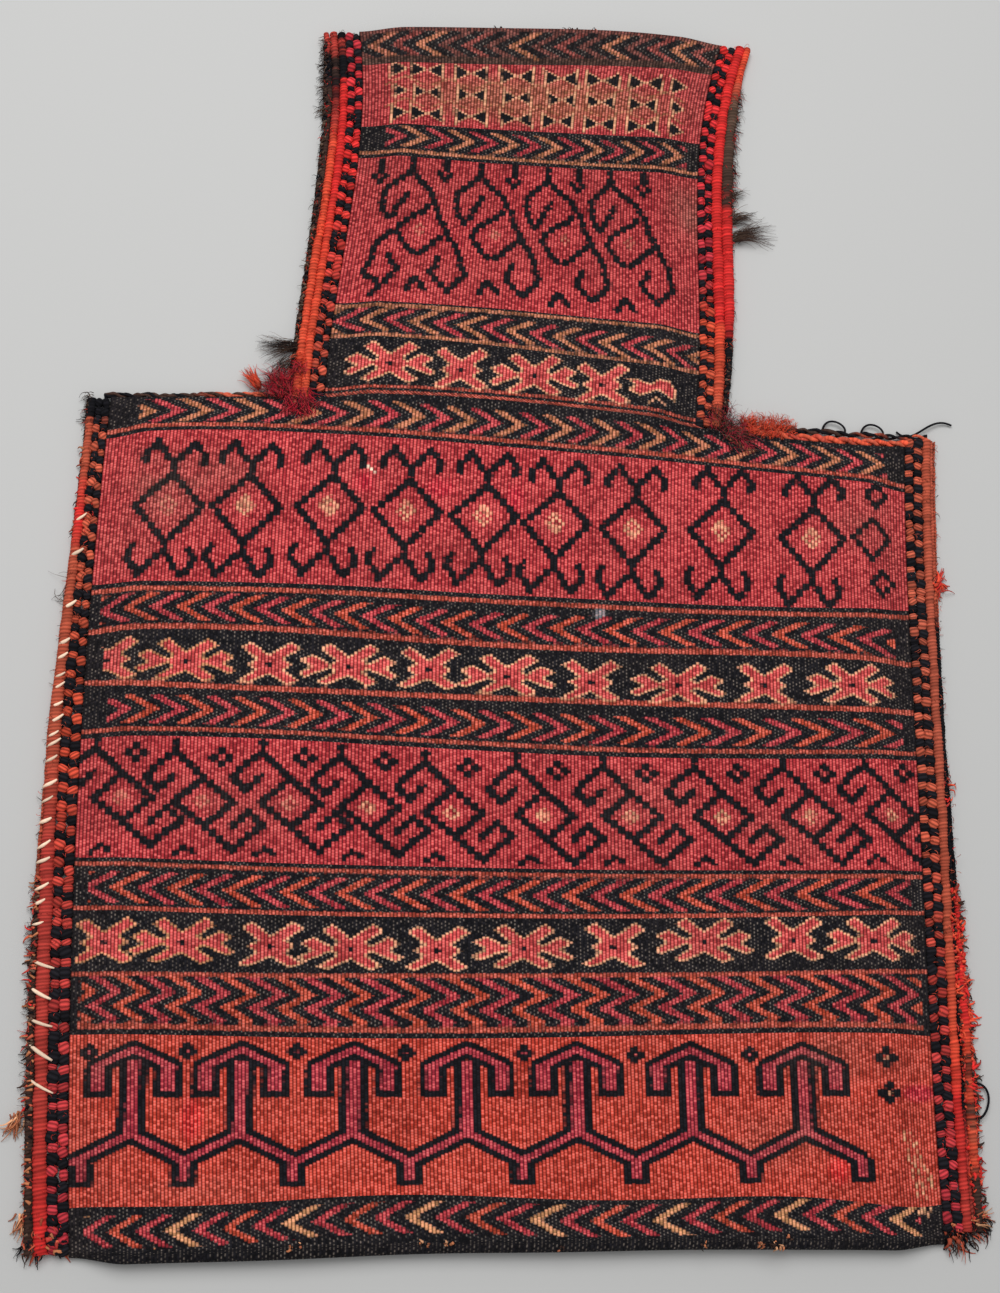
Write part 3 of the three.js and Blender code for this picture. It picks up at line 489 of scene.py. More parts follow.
class Pattern(Canvas):
    """The crossings of one band, with a method for what is woven into each of the bag's bands.

    Names in capitals are widths of lines, yarns in turn, and places of figures across and up the bag, some
    of them with a size or a lean.  A row of triangles is its level, half height, reach and middles.
    """

    RIM = 0.78
    DULL_RIMS = -150.0
    LINE = 4.5
    NECK_LINE = 4.3
    DASH = 3.4
    REDS = (Yarn.CHEVRON_RED, Yarn.CHEVRON_ORANGE)
    EARTHS = (Yarn.CHEVRON_RED, Yarn.TAN)
    FOLD_TURN = (Yarn.PALE_TAN, Yarn.CHEVRON_RED, Yarn.CHEVRON_ORANGE, Yarn.CHEVRON_RED)
    MOUTH_TURN = (Yarn.TAN, Yarn.MOUTH_DIM, Yarn.MOUTH_RED, Yarn.MOUTH_DIM, Yarn.TAN, Yarn.MOUTH_DIM,
                  Yarn.MOUTH_RED, Yarn.TAN, Yarn.MOUTH_RED, Yarn.MOUTH_DIM, Yarn.DUSTY, Yarn.MOUTH_RED,
                  Yarn.TAN, Yarn.MOUTH_DIM, Yarn.MOUTH_RED, Yarn.MOUTH_DIM)
    MENDED = ((181.5, 48), (185.4, 47), (188.6, 42), (183.4, 39), (186.8, 36), (190.4, 36), (185.2, 30),
              (188.6, 28), (192.4, 31), (195, 27), (190.6, 23), (187, 22))
    TREES = (-182, -133, -81, -28, 24, 79, 133.5)
    LEGS = (-204, -157.5, -108, -54.5, -2, 51.5, 106, 160)
    TREE_FLOWERS = ((-203, 84), (-158, 84.2), (-107.5, 84.2), (-57, 83.6), (-1, 83.4), (52, 82.6), (108, 83),
                    (175, 81.6), (175.5, 65))
    LOWER_STARS = ((-199, 134.2), (-162.5, 134.2), (-121.3, 132.7), (-83.5, 131.7), (-42.5, 131.2),
                   (-1, 132.5), (43, 133.5), (87.5, 136.4), (131.6, 137.5), (172, 137.5))
    UPPER_STARS = ((-205, 271.5), (-166.5, 271), (-126, 270), (-87, 270), (-47.5, 269.5), (-8, 267),
                   (34, 265), (78.5, 264.5), (123, 265.5), (169, 267))
    NECK_STARS = ((-68.5, 434.2), (-31.5, 431.5), (7, 430), (43, 426.5))
    HOOKS = ((-207.7, 231.4), (-169, 229.5), (-127.5, 229.5), (-89.5, 228), (-48.5, 226), (-3.5, 225.5),
             (40, 225.5), (85.5, 226), (130.5, 227), (173, 229))
    HOOK_FLOWERS = ((-188, 225), (-147.5, 223), (-107.5, 223.5), (-68, 222.5), (-27.5, 220), (17, 219.5),
                    (61.4, 219), (107.3, 219.4), (152, 220.4), (194.4, 222.5))
    HOOK_CHECKS = ((-203, 179), (-163, 178), (-125, 178), (-83, 177), (-43, 176), (3, 175.5), (45, 176),
                   (90, 176), (133, 177), (177, 178))
    DIAMONDS = ((-179.5, 351), (-141, 352), (-99, 353.5), (-60, 352.5), (-20.5, 351.5), (16.5, 348.5),
                (56.5, 346.5), (103, 347.5), (151, 345))
    SMALL_DIAMONDS = ((184, 347, 0.62), (188, 371, 0.34), (189, 323, 0.36))
    NECK_HOOKS = ((-57, 549.5, 0), (-20.5, 548, 3.5), (16, 547.5, 5), (50.5, 548, 6))
    NECK_TICKS = ((-74, 550), (-39, 551), (-2, 549), (33, 549), (69, 549))
    NECK_CHECKS = ((-56, 481), (-17, 480), (21, 475), (57, 474))
    TRIANGLE_ROWS = ((611, 3.3, 9.4, (-50, -25.5, 0, 24.5, 48, 72)),
                     (597, 2.6, 7.6, (-50, -25.5, -0.5, 24.5, 46.5, 70)),
                     (583, 3.0, 8.6, (-50, -26, -1, 22, 45, 69)))
    PEAKS = (-62, -37.5, -12.5, 12, 36, 59.5, 83)
    PEAK_LEVELS = (604, 590)

    def fold_band(self) -> None:
        """Weave arrowheads along the bottom fold; they keep their distance from the band's upper line."""
        self.v = 18.2 - 0.006 * self.x - 2.3 * ease((self.x - 105.0) / 70.0) - self.w
        self.chevrons(1.8, 15.7, Beat(2.5, 14.43, 1.24, -1.03), -1, self.FOLD_TURN, 2.0, 0.38)
        self.plain_ends(-201.0, 188.0)
        self.stroke(((186, 13), (188.5, 9), (190.5, 13.5), (192, 8), (194.5, 12)), 1.0, Yarn.CREAM, over=True)

    def tree_field(self) -> None:
        """Weave a row of trees with roofs, arms and legs: black first, then crimson down their middles."""
        for outer, yarn in ((True, Yarn.BLACK), (False, Yarn.TREE_RED)):
            for x in self.TREES:
                self._tree(x, outer, yarn)
            for x in self.LEGS:
                half = 6.0 if outer else 2.2
                foot = 24.0 if outer else 26.6
                self._post(x, half, foot, 35.0, yarn, not outer)
        for x, y in self.TREE_FLOWERS:
            self._flower(x, y, *((3.5, 5.2, Yarn.HEART_PALE) if x > 150 else (2.4, 4.5, Yarn.TREE_RED)))
        for x, y in self.MENDED:
            self.stroke(((0, 0), (1.4, -2), (0.2, -4), (1.8, -6.5)), 0.9, Yarn.CREAM, (x, y), over=True)
        self.stain((192, 65), 16.0, 7.0, Yarn.PATCH_RED)
        self.stain((149, 30), 9.0, 12.0, Yarn.BRIGHT_RED)
        self.stain((-155, 54), 9.0, 18.0, Yarn.BRIGHT_RED)

    def _tree(self, x: float, outer: bool, yarn: Yarn) -> None:
        """Weave one tree's outline or its middle.

        Args:
            x: place of its stem.
            outer: the black outline, else the crimson middle.
            yarn: its yarn.
        """
        stem = 6.5 if outer else 2.8
        foot = 44.0 if outer else 46.5
        self._post(x, stem, foot, 80.0, yarn, not outer)
        wide = 8.4 if outer else 2.9
        self.stroke(((-18.4, 76.9), (0, 85.2), (18.4, 76.9)), wide, yarn, (x, 0.0), over=not outer)
        arm = 6.6 if outer else 3.2
        bottom = 63.5 if outer else 66.6
        for side in (-1, 1):
            self._post(x + side * 16.0, arm, bottom, 77.0, yarn, not outer)
            self.stroke(((0, 47.5), (side * 26, 35)), 8.6 if outer else 2.9, yarn, (x, 0.0), over=not outer)

    def _post(self, x: float, half: float, foot: float, top: float, yarn: Yarn, over: bool) -> None:
        """Weave an upright bar of a half width between two levels."""
        corners = ((-half, foot), (half, foot), (half, top), (-half, top))
        self.shape(corners, yarn, (x, 0.0), over=over)

    def _flower(self, x: float, y: float, arm: float, spot: float, heart: Yarn) -> None:
        """Weave four black spots round a light one.

        Args:
            x: its place across.
            y: its place up.
            arm: distance from the middle to a spot.
            spot: width of a spot.
            heart: yarn of the middle.
        """
        for across, upward in ((0, 1.15), (0, -0.95), (-1.05, 0), (1.05, 0)):
            self.blob((x + across * arm, y + upward * arm * 0.85), spot, spot * 0.88, Yarn.BLACK)
        self.blob((x, y), arm * 0.75, arm * 0.62, heart, True)

    def zigzag_band(self) -> None:
        """Weave stripes that go back and forth twice."""
        self.rule(3.7, 2.2, Yarn.RULE_ORANGE)
        offset = np.interp(self.v, (5.0, 7.0, 13.0, 19.5, 29.0), (-6.5, -2.0, -14.5, 0.0, -19.0))
        self.arrows(5.8, 27.8, Beat(-5.3, 14.23, 1.79, -1.03), offset, self.REDS, 2.1)
        self.plain_ends(-209.0, 197.0)
        self.rule(1.2, 2.0, Yarn.RULE_ORANGE, top=True)

    def star_band(self, stars: Points, flanked: int, wide: float = 1.0, tall: float = 1.0) -> None:
        """Weave crossed stars, every other one between arrowheads.

        Args:
            stars: their middles.
            flanked: 0 or 1, which of each two has arrowheads.
            wide: their scale across.
            tall: their scale up.
        """
        for turn, (x, y) in enumerate(stars):
            star = tuple((a * wide, b * tall) for a, b in Motif.STAR)
            rim = Yarn.PALE_TAN if x < self.DULL_RIMS else Yarn.CREAM
            self.shape(star, Yarn.STAR_RED, (x, y), rim, self.RIM)
            self.pierce((x, y), 4.0, 2.6, Yarn.BLACK)
            if turn % 2 == flanked:
                for side in (-1, 1):
                    head = tuple((side * a * wide * 0.97, b * tall) for a, b in Motif.ARROWHEAD)
                    self.shape(head, Yarn.STAR_RED, (x, y), rim, self.RIM)

    def lower_stars(self) -> None:
        """Weave the lower star band."""
        self.star_band(self.LOWER_STARS, 1)
        self.plain_ends(-212.0, 198.0)

    def upper_stars(self) -> None:
        """Weave the upper star band."""
        self.star_band(self.UPPER_STARS, 1)
        self.plain_ends(-207.0, 196.0)
        self.rule(1.6, 2.6, Yarn.RULE_ORANGE)

    def neck_stars(self) -> None:
        """Weave the star band at the foot of the neck under two orange lines."""
        self.star_band(self.NECK_STARS, 0, 0.97, 1.08)
        self.shape(Motif.FISH, Yarn.STAR_RED, (72.5, 426.5), Yarn.CREAM, self.RIM)
        self.stroke(((-5.4, -9.6), (-0.5, -5.6), (5.2, -9.6)), 1.0, Yarn.CREAM, (72.5, 426.5))
        self.plain_ends(-92.0, 90.0)
        self.rule(0.8, 1.7, Yarn.RULE_ORANGE)
        self.rule(4.2, 1.5, Yarn.RULE_ORANGE)

    def lower_arrows(self) -> None:
        """Weave arrowheads to the left between the lower stars and the hooks."""
        self.chevrons(3.4, 18.4, Beat(6.2, 13.79, 2.31, 0.47), -1, self.REDS)
        self.plain_ends(-208.0, 194.0)
        self.rule(0.9, 2.2, Yarn.RULE_ORANGE)
        self.rule(3.0, 1.9, Yarn.RULE_ORANGE, top=True)

    def hook_field(self) -> None:
        """Weave running hooks round pale-hearted diamonds on crimson."""
        for x, y in self.HOOKS:
            for line in Motif.HOOK:
                self.stroke(line, self.LINE, Yarn.BLACK, (x, y), True)
            self._heart(x + 13, y - 28.3, 9.0, 9.0, Yarn.HEART_PALE if x > -100 else Yarn.HEART_DIM)
        for x, y in self.HOOK_FLOWERS:
            self._flower(x, y, 3.6, 4.9, Yarn.STAR_RED)
        for x, y in self.HOOK_CHECKS:
            self.stroke(((-4.6, -1.8), (0, 1.6), (4.6, -1.8)), 3.6, Yarn.BLACK, (x, y), True)

    def middle_arrows(self) -> None:
        """Weave arrowheads to the right between the hooks and the upper stars."""
        self.chevrons(6.4, 20.6, Beat(20.5, 13.8, 3.14, 0.71), 1, self.REDS)
        self.plain_ends(-203.0, 196.0)
        self.rule(3.6, 2.0, Yarn.RULE_ORANGE)

    def upper_arrows(self) -> None:
        """Weave arrowheads to the left between the upper stars and the diamonds, with a bit of lint."""
        self.stain((39.6, 300.6), 5.0, 6.5, Yarn.LINT)
        self.chevrons(4.6, 18.6, Beat(-93.9, 13.71, 2.49, 0.27), -1, self.REDS[::-1])
        self.plain_ends(-209.0, 195.0)
        self.rule(1.6, 2.6, Yarn.RULE_ORANGE)
        self.rule(3.7, 2.3, Yarn.RULE_ORANGE, top=True)

    def diamond_field(self) -> None:
        """Weave pale-hearted diamonds with curled antlers on crimson."""
        self.stain((-81, 367), 9.0, 9.0, Yarn.PATCH_RED)
        self.stain((-42, 366), 12.0, 9.0, Yarn.PATCH_RED)
        self.stain((-3, 362), 8.0, 12.0, Yarn.PATCH_RED)
        for x, y in self.DIAMONDS:
            for line in (Motif.DIAMOND, *Motif.STEMS, *Motif.ANTLERS):
                self.stroke(line, self.LINE, Yarn.BLACK, (x, y), True)
            self._heart(x + 0.8, y + 0.5, 11.0, 14.0, Yarn.HEART_PALE if x > -150 else Yarn.HEART_DIM)
        for x, y, size in self.SMALL_DIAMONDS:
            line = tuple((a * size, b * size) for a, b in Motif.DIAMOND)
            self.stroke(line, self.LINE * 0.85, Yarn.BLACK, (x, y), True)
        self.stroke(((-79.5, 377), (-75.5, 373)), 1.4, Yarn.WHITE, over=True)

    def _heart(self, x: float, y: float, wide: float, tall: float, yarn: Yarn) -> None:
        """Weave worn pale dots round a red middle: short dashes that change place from rib to rib.

        Args:
            x: its place across.
            y: its place up.
            wide: full width.
            tall: full height.
            yarn: the pale yarn.
        """
        spots = self.near(np.array([(x, y)]), max(wide, tall) / 2)
        reach = np.abs(self.x[spots] - x) / (wide / 2) + np.abs(self.y[spots] - y) / (tall / 2)
        turn = (self.y[spots] / self.DASH + self.rib[spots] * 0.5) % 1.0
        dash = (np.abs(turn - 0.5) - 0.3) * self.DASH
        edge = np.maximum(dash, (reach - 1.0) * wide / 3)
        self.over.add(spots, np.maximum(edge, (0.22 - reach) * wide / 3), yarn)

    def shoulder_arrows(self) -> None:
        """Weave tan and crimson arrowheads to the right below the shoulders."""
        self.chevrons(5.6, 20.0, Beat(-12.7, 12.76, -2.94), 1, self.EARTHS, 1.7)
        self.plain_ends(-196.0, 196.0)
        self.rule(3.4, 2.2, Yarn.RULE_ORANGE)

    def neck_arrows(self) -> None:
        """Weave crimson and tan arrowheads to the left on the neck."""
        self.chevrons(3.0, 16.2, Beat(-18.6, 12.54, -2.21), -1, self.EARTHS)
        self.rule(0.8, 1.7, Yarn.TAN)
        self.rule(2.0, 1.7, Yarn.TAN, top=True)

    def neck_field(self) -> None:
        """Weave long hooks, ticks and check marks on the neck's crimson field."""
        for x, y, lean in self.NECK_HOOKS:
            for line in Motif.NECK_HOOK:
                leant = tuple((a + lean * float(ease(-b / 24.0)), b) for a, b in line)
                self.stroke(leant, self.NECK_LINE, Yarn.BLACK, (x, y), True)
            self._heart(x + lean + 3.5, y - 37.5, 6.0, 9.0, Yarn.HEART_DIM)
        for line in Motif.NECK_REST:
            self.stroke(line, self.NECK_LINE, Yarn.BLACK, (0.0, 0.0), True)
        for x, y in self.NECK_TICKS:
            self.stroke(((0, 3), (0, -2)), 4.6, Yarn.BLACK, (x, y))
            self.stroke(((-4, -5), (-1, -9), (2, -6)), 3.8, Yarn.BLACK, (x, y), True)
        for x, y in self.NECK_CHECKS:
            self.stroke(((-4.5, -3.5), (-1, 3), (2, 0.5), (5, -4)), 4.4, Yarn.BLACK, (x, y), True)

    def upper_neck_arrows(self) -> None:
        """Weave tan and crimson arrowheads to the right at the top of the neck."""
        self.chevrons(6.0, 19.0, Beat(-1.2, 11.98, -4.83), 1, self.EARTHS[::-1], 1.8)
        self.plain_ends(-72.0, 94.0)
        self.rule(3.2, 1.9, Yarn.TAN)

    def triangle_field(self) -> None:
        """Weave three rows of black triangles that meet point to point inside pale outlines."""
        worn = np.clip(1.3 - np.hypot((self.x - 14.0) / 70.0, (self.y - 596.0) / 15.0), 0.0, 0.75)
        self.colour += (Yarn.DUSTY.linear - self.colour) * worn[..., None]
        for y, half, reach, middles in self.TRIANGLE_ROWS:
            for x in middles:
                self._triangles(x, y, half, reach, (-1, 1))
            self._triangles(middles[0] - 10.5, y, half, reach, (-1,))
            self._triangles(middles[-1] + 24, y, half, reach, (-1,))
        for x in self.PEAKS:
            for y in self.PEAK_LEVELS:
                self.stroke(((-10, -2.5), (0, 2.2), (10, -2.5)), 1.2, Yarn.TAN, (x, y))

    def _triangles(self, x: float, y: float, half: float, reach: float, sides: Sequence[int]) -> None:
        """Weave one or two triangles that point at a middle.

        Args:
            x: place of the middle across.
            y: place of the middle up.
            half: half of a triangle's height.
            reach: distance from the middle to a triangle's far side.
            sides: -1 for the left triangle, 1 for the right one.
        """
        for side in sides:
            base = side * reach
            self.stroke(((base, half + 2.8), (base, -half - 2.8)), 1.1, Yarn.CREAM, (x, y))
            self.shape(((-side * 0.8, 0), (base, half + 2.2), (base, -half - 2.2)), Yarn.CREAM, (x, y))
            far = side * (reach - 0.8)
            heart = ((side * 1.0, 0), (far, half + 1.2), (far, -half - 1.2))
            self.shape(heart, Yarn.BLACK, (x, y), over=True)

    def mouth_band(self) -> None:
        """Weave worn arrowheads to the left along the mouth."""
        self.chevrons(3.5, 20.0, Beat(-2.8, 13.0), -1, self.MOUTH_TURN, 1.75)
        self.rule(2.2, 4.2, Yarn.BROWN)
        self.rule(0.8, 2.6, Yarn.MOUTH_DIM, top=True)


@dataclass(frozen=True)
class Band:
    """One band of the cloth: its rows of crossings, its ground and its painter."""

    rows: int
    ground: Yarn
    painter: Callable[[Pattern], None]


BODY_BANDS = (
    Band(14, Yarn.BLACK, Pattern.fold_band),
    Band(52, Yarn.ORANGE, Pattern.tree_field),
    Band(20, Yarn.BLACK, Pattern.zigzag_band),
    Band(18, Yarn.BLACK, Pattern.lower_stars),
    Band(18, Yarn.BLACK, Pattern.lower_arrows),
    Band(40, Yarn.CRIMSON, Pattern.hook_field),
    Band(18, Yarn.BLACK, Pattern.middle_arrows),
    Band(19, Yarn.BLACK, Pattern.upper_stars),
    Band(19, Yarn.BLACK, Pattern.upper_arrows),
    Band(54, Yarn.CRIMSON, Pattern.diamond_field),
    Band(16, Yarn.BLACK, Pattern.shoulder_arrows),
)
NECK_BANDS = (
    Band(24, Yarn.BLACK, Pattern.neck_stars),
    Band(15, Yarn.BLACK, Pattern.neck_arrows),
    Band(62, Yarn.CRIMSON, Pattern.neck_field),
    Band(15, Yarn.BLACK, Pattern.upper_neck_arrows),
    Band(32, Yarn.CRIMSON, Pattern.triangle_field),
    Band(12, Yarn.BLACK, Pattern.mouth_band),
)


class Value:
    """A number that varies over a surface, for sums written with Python's own operators."""

    def __init__(self, graph: "Graph", socket: Socket) -> None:
        """Wrap an output of a node."""
        self.graph = graph
        self.socket = socket

    def combine(self, operation: str, *others: object) -> "Value":
        """Add a Math node that takes this value first."""
        return self.graph.calculate(operation, self, *others)

    def __add__(self, other: object) -> "Value":
        """Sum."""
        return self.combine("ADD", other)

    def __sub__(self, other: object) -> "Value":
        """Difference."""
        return self.combine("SUBTRACT", other)

    def __rsub__(self, other: object) -> "Value":
        """Difference, the other way round."""
        return self.graph.calculate("SUBTRACT", other, self)

    def __mul__(self, other: object) -> "Value":
        """Product."""
        return self.combine("MULTIPLY", other)

    def __pow__(self, other: object) -> "Value":
        """Power."""
        return self.combine("POWER", other)

    def held(self) -> "Value":
        """Hold between 0 and 1."""
        return self.combine("MAXIMUM", 0.0).combine("MINIMUM", 1.0)

    def wave(self) -> "Value":
        """Rise and fall once between whole numbers, from 0 to 1 and back."""
        return (self * np.pi).combine("SINE").combine("ABSOLUTE")


class Graph:
    """The node tree of one finish."""

    def __init__(self, name: str) -> None:
        """Start a finish with a plain shader."""
        self.material = bpy.data.materials.new(name)
        self.material.use_nodes = True
        self.tree = self.material.node_tree
        self.tree.nodes.clear()
        self.shader = self.node("ShaderNodeBsdfPrincipled")
        self.node("ShaderNodeOutputMaterial", inputs={"Surface": self.shader.outputs["BSDF"]})

    def node(self, kind: str, settings: dict[str, object] | None = None,
             inputs: dict[str | int, object] | None = None) -> bpy.types.Node:
        """Create a node.

        Args:
            kind: the node's type.
            settings: its own settings.
            inputs: sockets by name or number, each a value, an output or a constant.

        Returns:
            The node.
        """
        made = self.tree.nodes.new(kind)
        for key, setting in (settings or {}).items():
            setattr(made, key, setting)
        for key, source in (inputs or {}).items():
            self.feed(made.inputs[key], source)
        return made

    def feed(self, socket: Socket, source: object) -> None:
        """Join a source to a socket, or set the socket to a constant."""
        if isinstance(source, Value):
            source = source.socket
        if isinstance(source, Socket):
            self.tree.links.new(source, socket)
        else:
            socket.default_value = source

    def calculate(self, operation: str, *numbers: object) -> Value:
        """Add a Math node and give its output."""
        made = self.node("ShaderNodeMath", {"operation": operation}, dict(enumerate(numbers)))
        return Value(self, made.outputs[0])

    def noise(self, scale: float, detail: float) -> Value:
        """Vary over the object itself from about 0 to 1: waves in a metre, and finer waves on top."""
        place = self.node("ShaderNodeTexCoord").outputs["Object"]
        inputs = {"Vector": place, "Scale": scale, "Detail": detail}
        return Value(self, self.node("ShaderNodeTexNoise", inputs=inputs).outputs[0])

    def mix(self, share: object, first: object, second: object) -> Socket:
        """Blend two colours: a share of 0 gives the first, 1 the second."""
        settings = {"data_type": "RGBA", "clamp_factor": True}
        return self.node("ShaderNodeMix", settings, {0: share, 6: first, 7: second}).outputs[2]

    def scale(self, colour: Socket, amount: Value) -> Socket:
        """Make a colour darker or lighter by a value."""
        made = self.node("ShaderNodeVectorMath", {"operation": "SCALE"}, {0: colour, "Scale": amount})
        return made.outputs[0]

    def bump(self, height: Value, strength: float, distance: float) -> None:
        """Raise the surface by a height of about 0 to 1, where 1 stands for a distance in metres."""
        inputs = {"Height": height, "Strength": strength, "Distance": distance}
        self.feed(self.shader.inputs["Normal"], self.node("ShaderNodeBump", inputs=inputs).outputs[0])


@dataclass(frozen=True)
class WoolFinish:
    """A finish of dyed wool whose colour is in the mesh.

    On cloth two layers of figures lie over the ground: a figure shows where the distance that the mesh keeps
    is below zero.  The colour is darkened with painted shade between ribs and between weft beads, then varied
    by fibre noise, and the valleys between ribs get more painted shade towards black.  Light yarn gets a
    painted highlight on top of its beads.  Pale warp shows between dark ribs where the mesh asks for it.
    """

    name: str
    ribbed: bool
    fibre_scale: float
    fibre_share: float
    bump_height: float
    gain: float = 1.0
    # The next four set how much painted shade falls between ribs and between beads, how strong the painted
    # highlight on bead tops is, and how much painted shade darkens the valleys.
    rib_painted_shade: float = 0.62
    bead_painted_shade: float = 0.3
    painted_highlight_share: float = 0.5
    valley_painted_shade: float = 0.9
    edge_blur: float = 0.7
    bead_rate: float = 1.1
    dot_share: float = 0.74
    fibre_detail: float = 3.0
    roughness: float = 0.92
    specular: float = 0.12
    bump_strength: float = 0.7

    def make(self) -> Material:
        """Build the finish.

        Returns:
            The material.
        """
        graph = Graph(self.name)
        yarn = graph.node("ShaderNodeAttribute", {"attribute_name": "Yarn"})
        fibre = graph.noise(self.fibre_scale, self.fibre_detail)
        shade = fibre * self.fibre_share + (self.gain - self.fibre_share / 2)
        height = fibre * 0.5
        colour = yarn.outputs["Color"]
        if self.ribbed:
            rib, bead, chance, dot = self._weave(graph)
            # Painted shade: darker between ribs and between weft beads, times fibre noise and a random tone
            # for each bead.
            relief_shade = rib * (1.0 - self.bead_painted_shade) + bead * self.bead_painted_shade
            shade = shade * (relief_shade * self.rib_painted_shade + (1.0 - self.rib_painted_shade * 0.7)) * (chance * 0.9 + 0.55)
            height = height * 0.35 + rib * 0.7 + bead * 0.3
            bare = Value(graph, yarn.outputs["Alpha"])
            for name in ("Under", "Over"):
                layer = graph.node("ShaderNodeAttribute", {"attribute_name": name})
                inside = 0.5 - (Value(graph, layer.outputs["Alpha"]) - 0.5) * (2 * Layer.FAR / self.edge_blur)
                colour = graph.mix(inside, colour, layer.outputs["Color"])
                bare = bare * (1.0 - inside.held())
            # Painted highlight: light yarn is mixed towards a pale highlight colour on the tops of its beads.
            lit = Value(graph, graph.node("ShaderNodeRGBToBW", inputs={0: colour}).outputs[0]) * 9.0 - 0.12
            luck = (chance * 1.5 - 0.25).combine("MAXIMUM", 0.0)
            painted_highlight = (rib * bead) ** 1.5 * luck * lit.held() * self.painted_highlight_share
            colour = graph.mix(painted_highlight, graph.scale(colour, shade), (*Yarn.PAINTED_HIGHLIGHT.linear, 1.0))
            # Painted shade: the valleys between ribs are mixed towards black.
            colour = graph.mix((1.0 - rib) ** 1.5 * self.valley_painted_shade, colour, (*Yarn.BLACK.linear, 1.0))
            speck = (1.0 - rib) ** 1.6 * dot * bare
            colour = graph.mix(speck, colour, (*Yarn.SPECK.linear, 1.0))
        else:
            colour = graph.scale(colour, shade)
        graph.feed(graph.shader.inputs["Base Color"], colour)
        graph.shader.inputs["Roughness"].default_value = self.roughness
        graph.shader.inputs["Specular IOR Level"].default_value = self.specular
        graph.bump(height, self.bump_strength, self.bump_height)
        return graph.material

    def _weave(self, graph: Graph) -> tuple[Value, Value, Value, Value]:
        """Read the weave from the cloth's own coordinates: ribs across, weft beads along them.

        Args:
            graph: the finish's nodes.

        Returns:
            Rib height, bead height, a random number from 0 to 1 for each bead, and dots along the seams.
        """
        place = graph.node("ShaderNodeUVMap", {"uv_map": "Weave"}).outputs[0]
        split = graph.node("ShaderNodeSeparateXYZ", inputs={0: place})
        across = Value(graph, split.outputs[0])
        along = Value(graph, split.outputs[1]) * self.bead_rate
        beads, chance = self._stagger(graph, across, along)
        dots, luck = self._stagger(graph, across + 0.5, along * self.dot_share)
        dot = dots ** 2.4 * (luck * 1.9 - 0.4).combine("MAXIMUM", 0.0)
        return across.wave() ** 0.8, beads ** 0.7, chance, dot

    @staticmethod
    def _stagger(graph: Graph, across: Value, along: Value) -> tuple[Value, Value]:
        """Make beads along columns, each column half a bead ahead of the last.

        Args:
            graph: the finish's nodes.
            across: column places.
            along: bead places.

        Returns:
            Bead height, and a random number from 0 to 1 for each bead.
        """
        column = across.combine("FLOOR")
        place = along + column * 0.5
        cell = graph.node("ShaderNodeCombineXYZ", inputs={0: column, 1: place.combine("FLOOR")})
        inputs = {"Vector": cell.outputs[0]}
        chance = graph.node("ShaderNodeTexWhiteNoise", {"noise_dimensions": "2D"}, inputs)
        return place.wave(), Value(graph, chance.outputs["Value"])


class Kit:
    """Makes the visible objects, hangs them on the frame and hides the frame's parts that they stand for.

    The cloth's box tells where the bag's zero is: so far aside from its middle, so far below its mouth.
    """

    ZERO_ASIDE = 5.665
    MOUTH_LEVEL = 639.86

    def __init__(self) -> None:
        """Find the bag's own zero in the frame from the cloth's box."""
        low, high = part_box("woven_cloth")
        middle = (low[0] + high[0]) / 2 / MM
        self.shift = np.array([middle + self.ZERO_ASIDE, high[1] / MM - self.MOUTH_LEVEL, 0.0])
        LOG.info("bag zero lies at %s mm", self.shift.round(2))

    def mesh(self, name: str, points: Array, loops: Array, sizes: Array, material: Material) -> Thing:
        """Make one object.

        Args:
            name: the object's name.
            points: places in the bag's millimetres, one row each.
            loops: point numbers, face after face.
            sizes: corners of each face.
            material: its finish.

        Returns:
            The object, at the frame's origin.
        """
        made = bpy.data.meshes.new(name)
        made.vertices.add(len(points))
        made.vertices.foreach_set("co", ((points + self.shift) * MM).astype(np.float32).ravel())
        made.loops.add(len(loops))
        made.polygons.add(len(sizes))
        starts = np.concatenate(([0], np.cumsum(sizes)[:-1]))
        made.polygons.foreach_set("loop_start", starts.astype(np.int32))
        made.polygons.foreach_set("vertices", loops.astype(np.int32))
        made.update(calc_edges=True)
        made.polygons.foreach_set("use_smooth", np.ones(len(sizes), dtype=bool))
        made.materials.append(material)
        thing = bpy.data.objects.new(name, made)
        bpy.context.scene.collection.objects.link(thing)
        LOG.info("%s: %d points, %d faces", name, len(points), len(sizes))
        return thing

    def dye(self, thing: Thing, colours: Array, domain: str, name: str = "Yarn") -> None:
        """Store red, green, blue and a further number in a mesh, one row for each point or corner."""
        layer = thing.data.attributes.new(name, "FLOAT_COLOR", domain)
        layer.data.foreach_set("color", colours.astype(np.float32).ravel())

    def place(self, thing: Thing, slot: str, *nodes: str) -> None:
        """Let an object ride on the bag, in place of nodes if any are named."""
        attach(thing, "root")
        if nodes:
            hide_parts(*nodes)


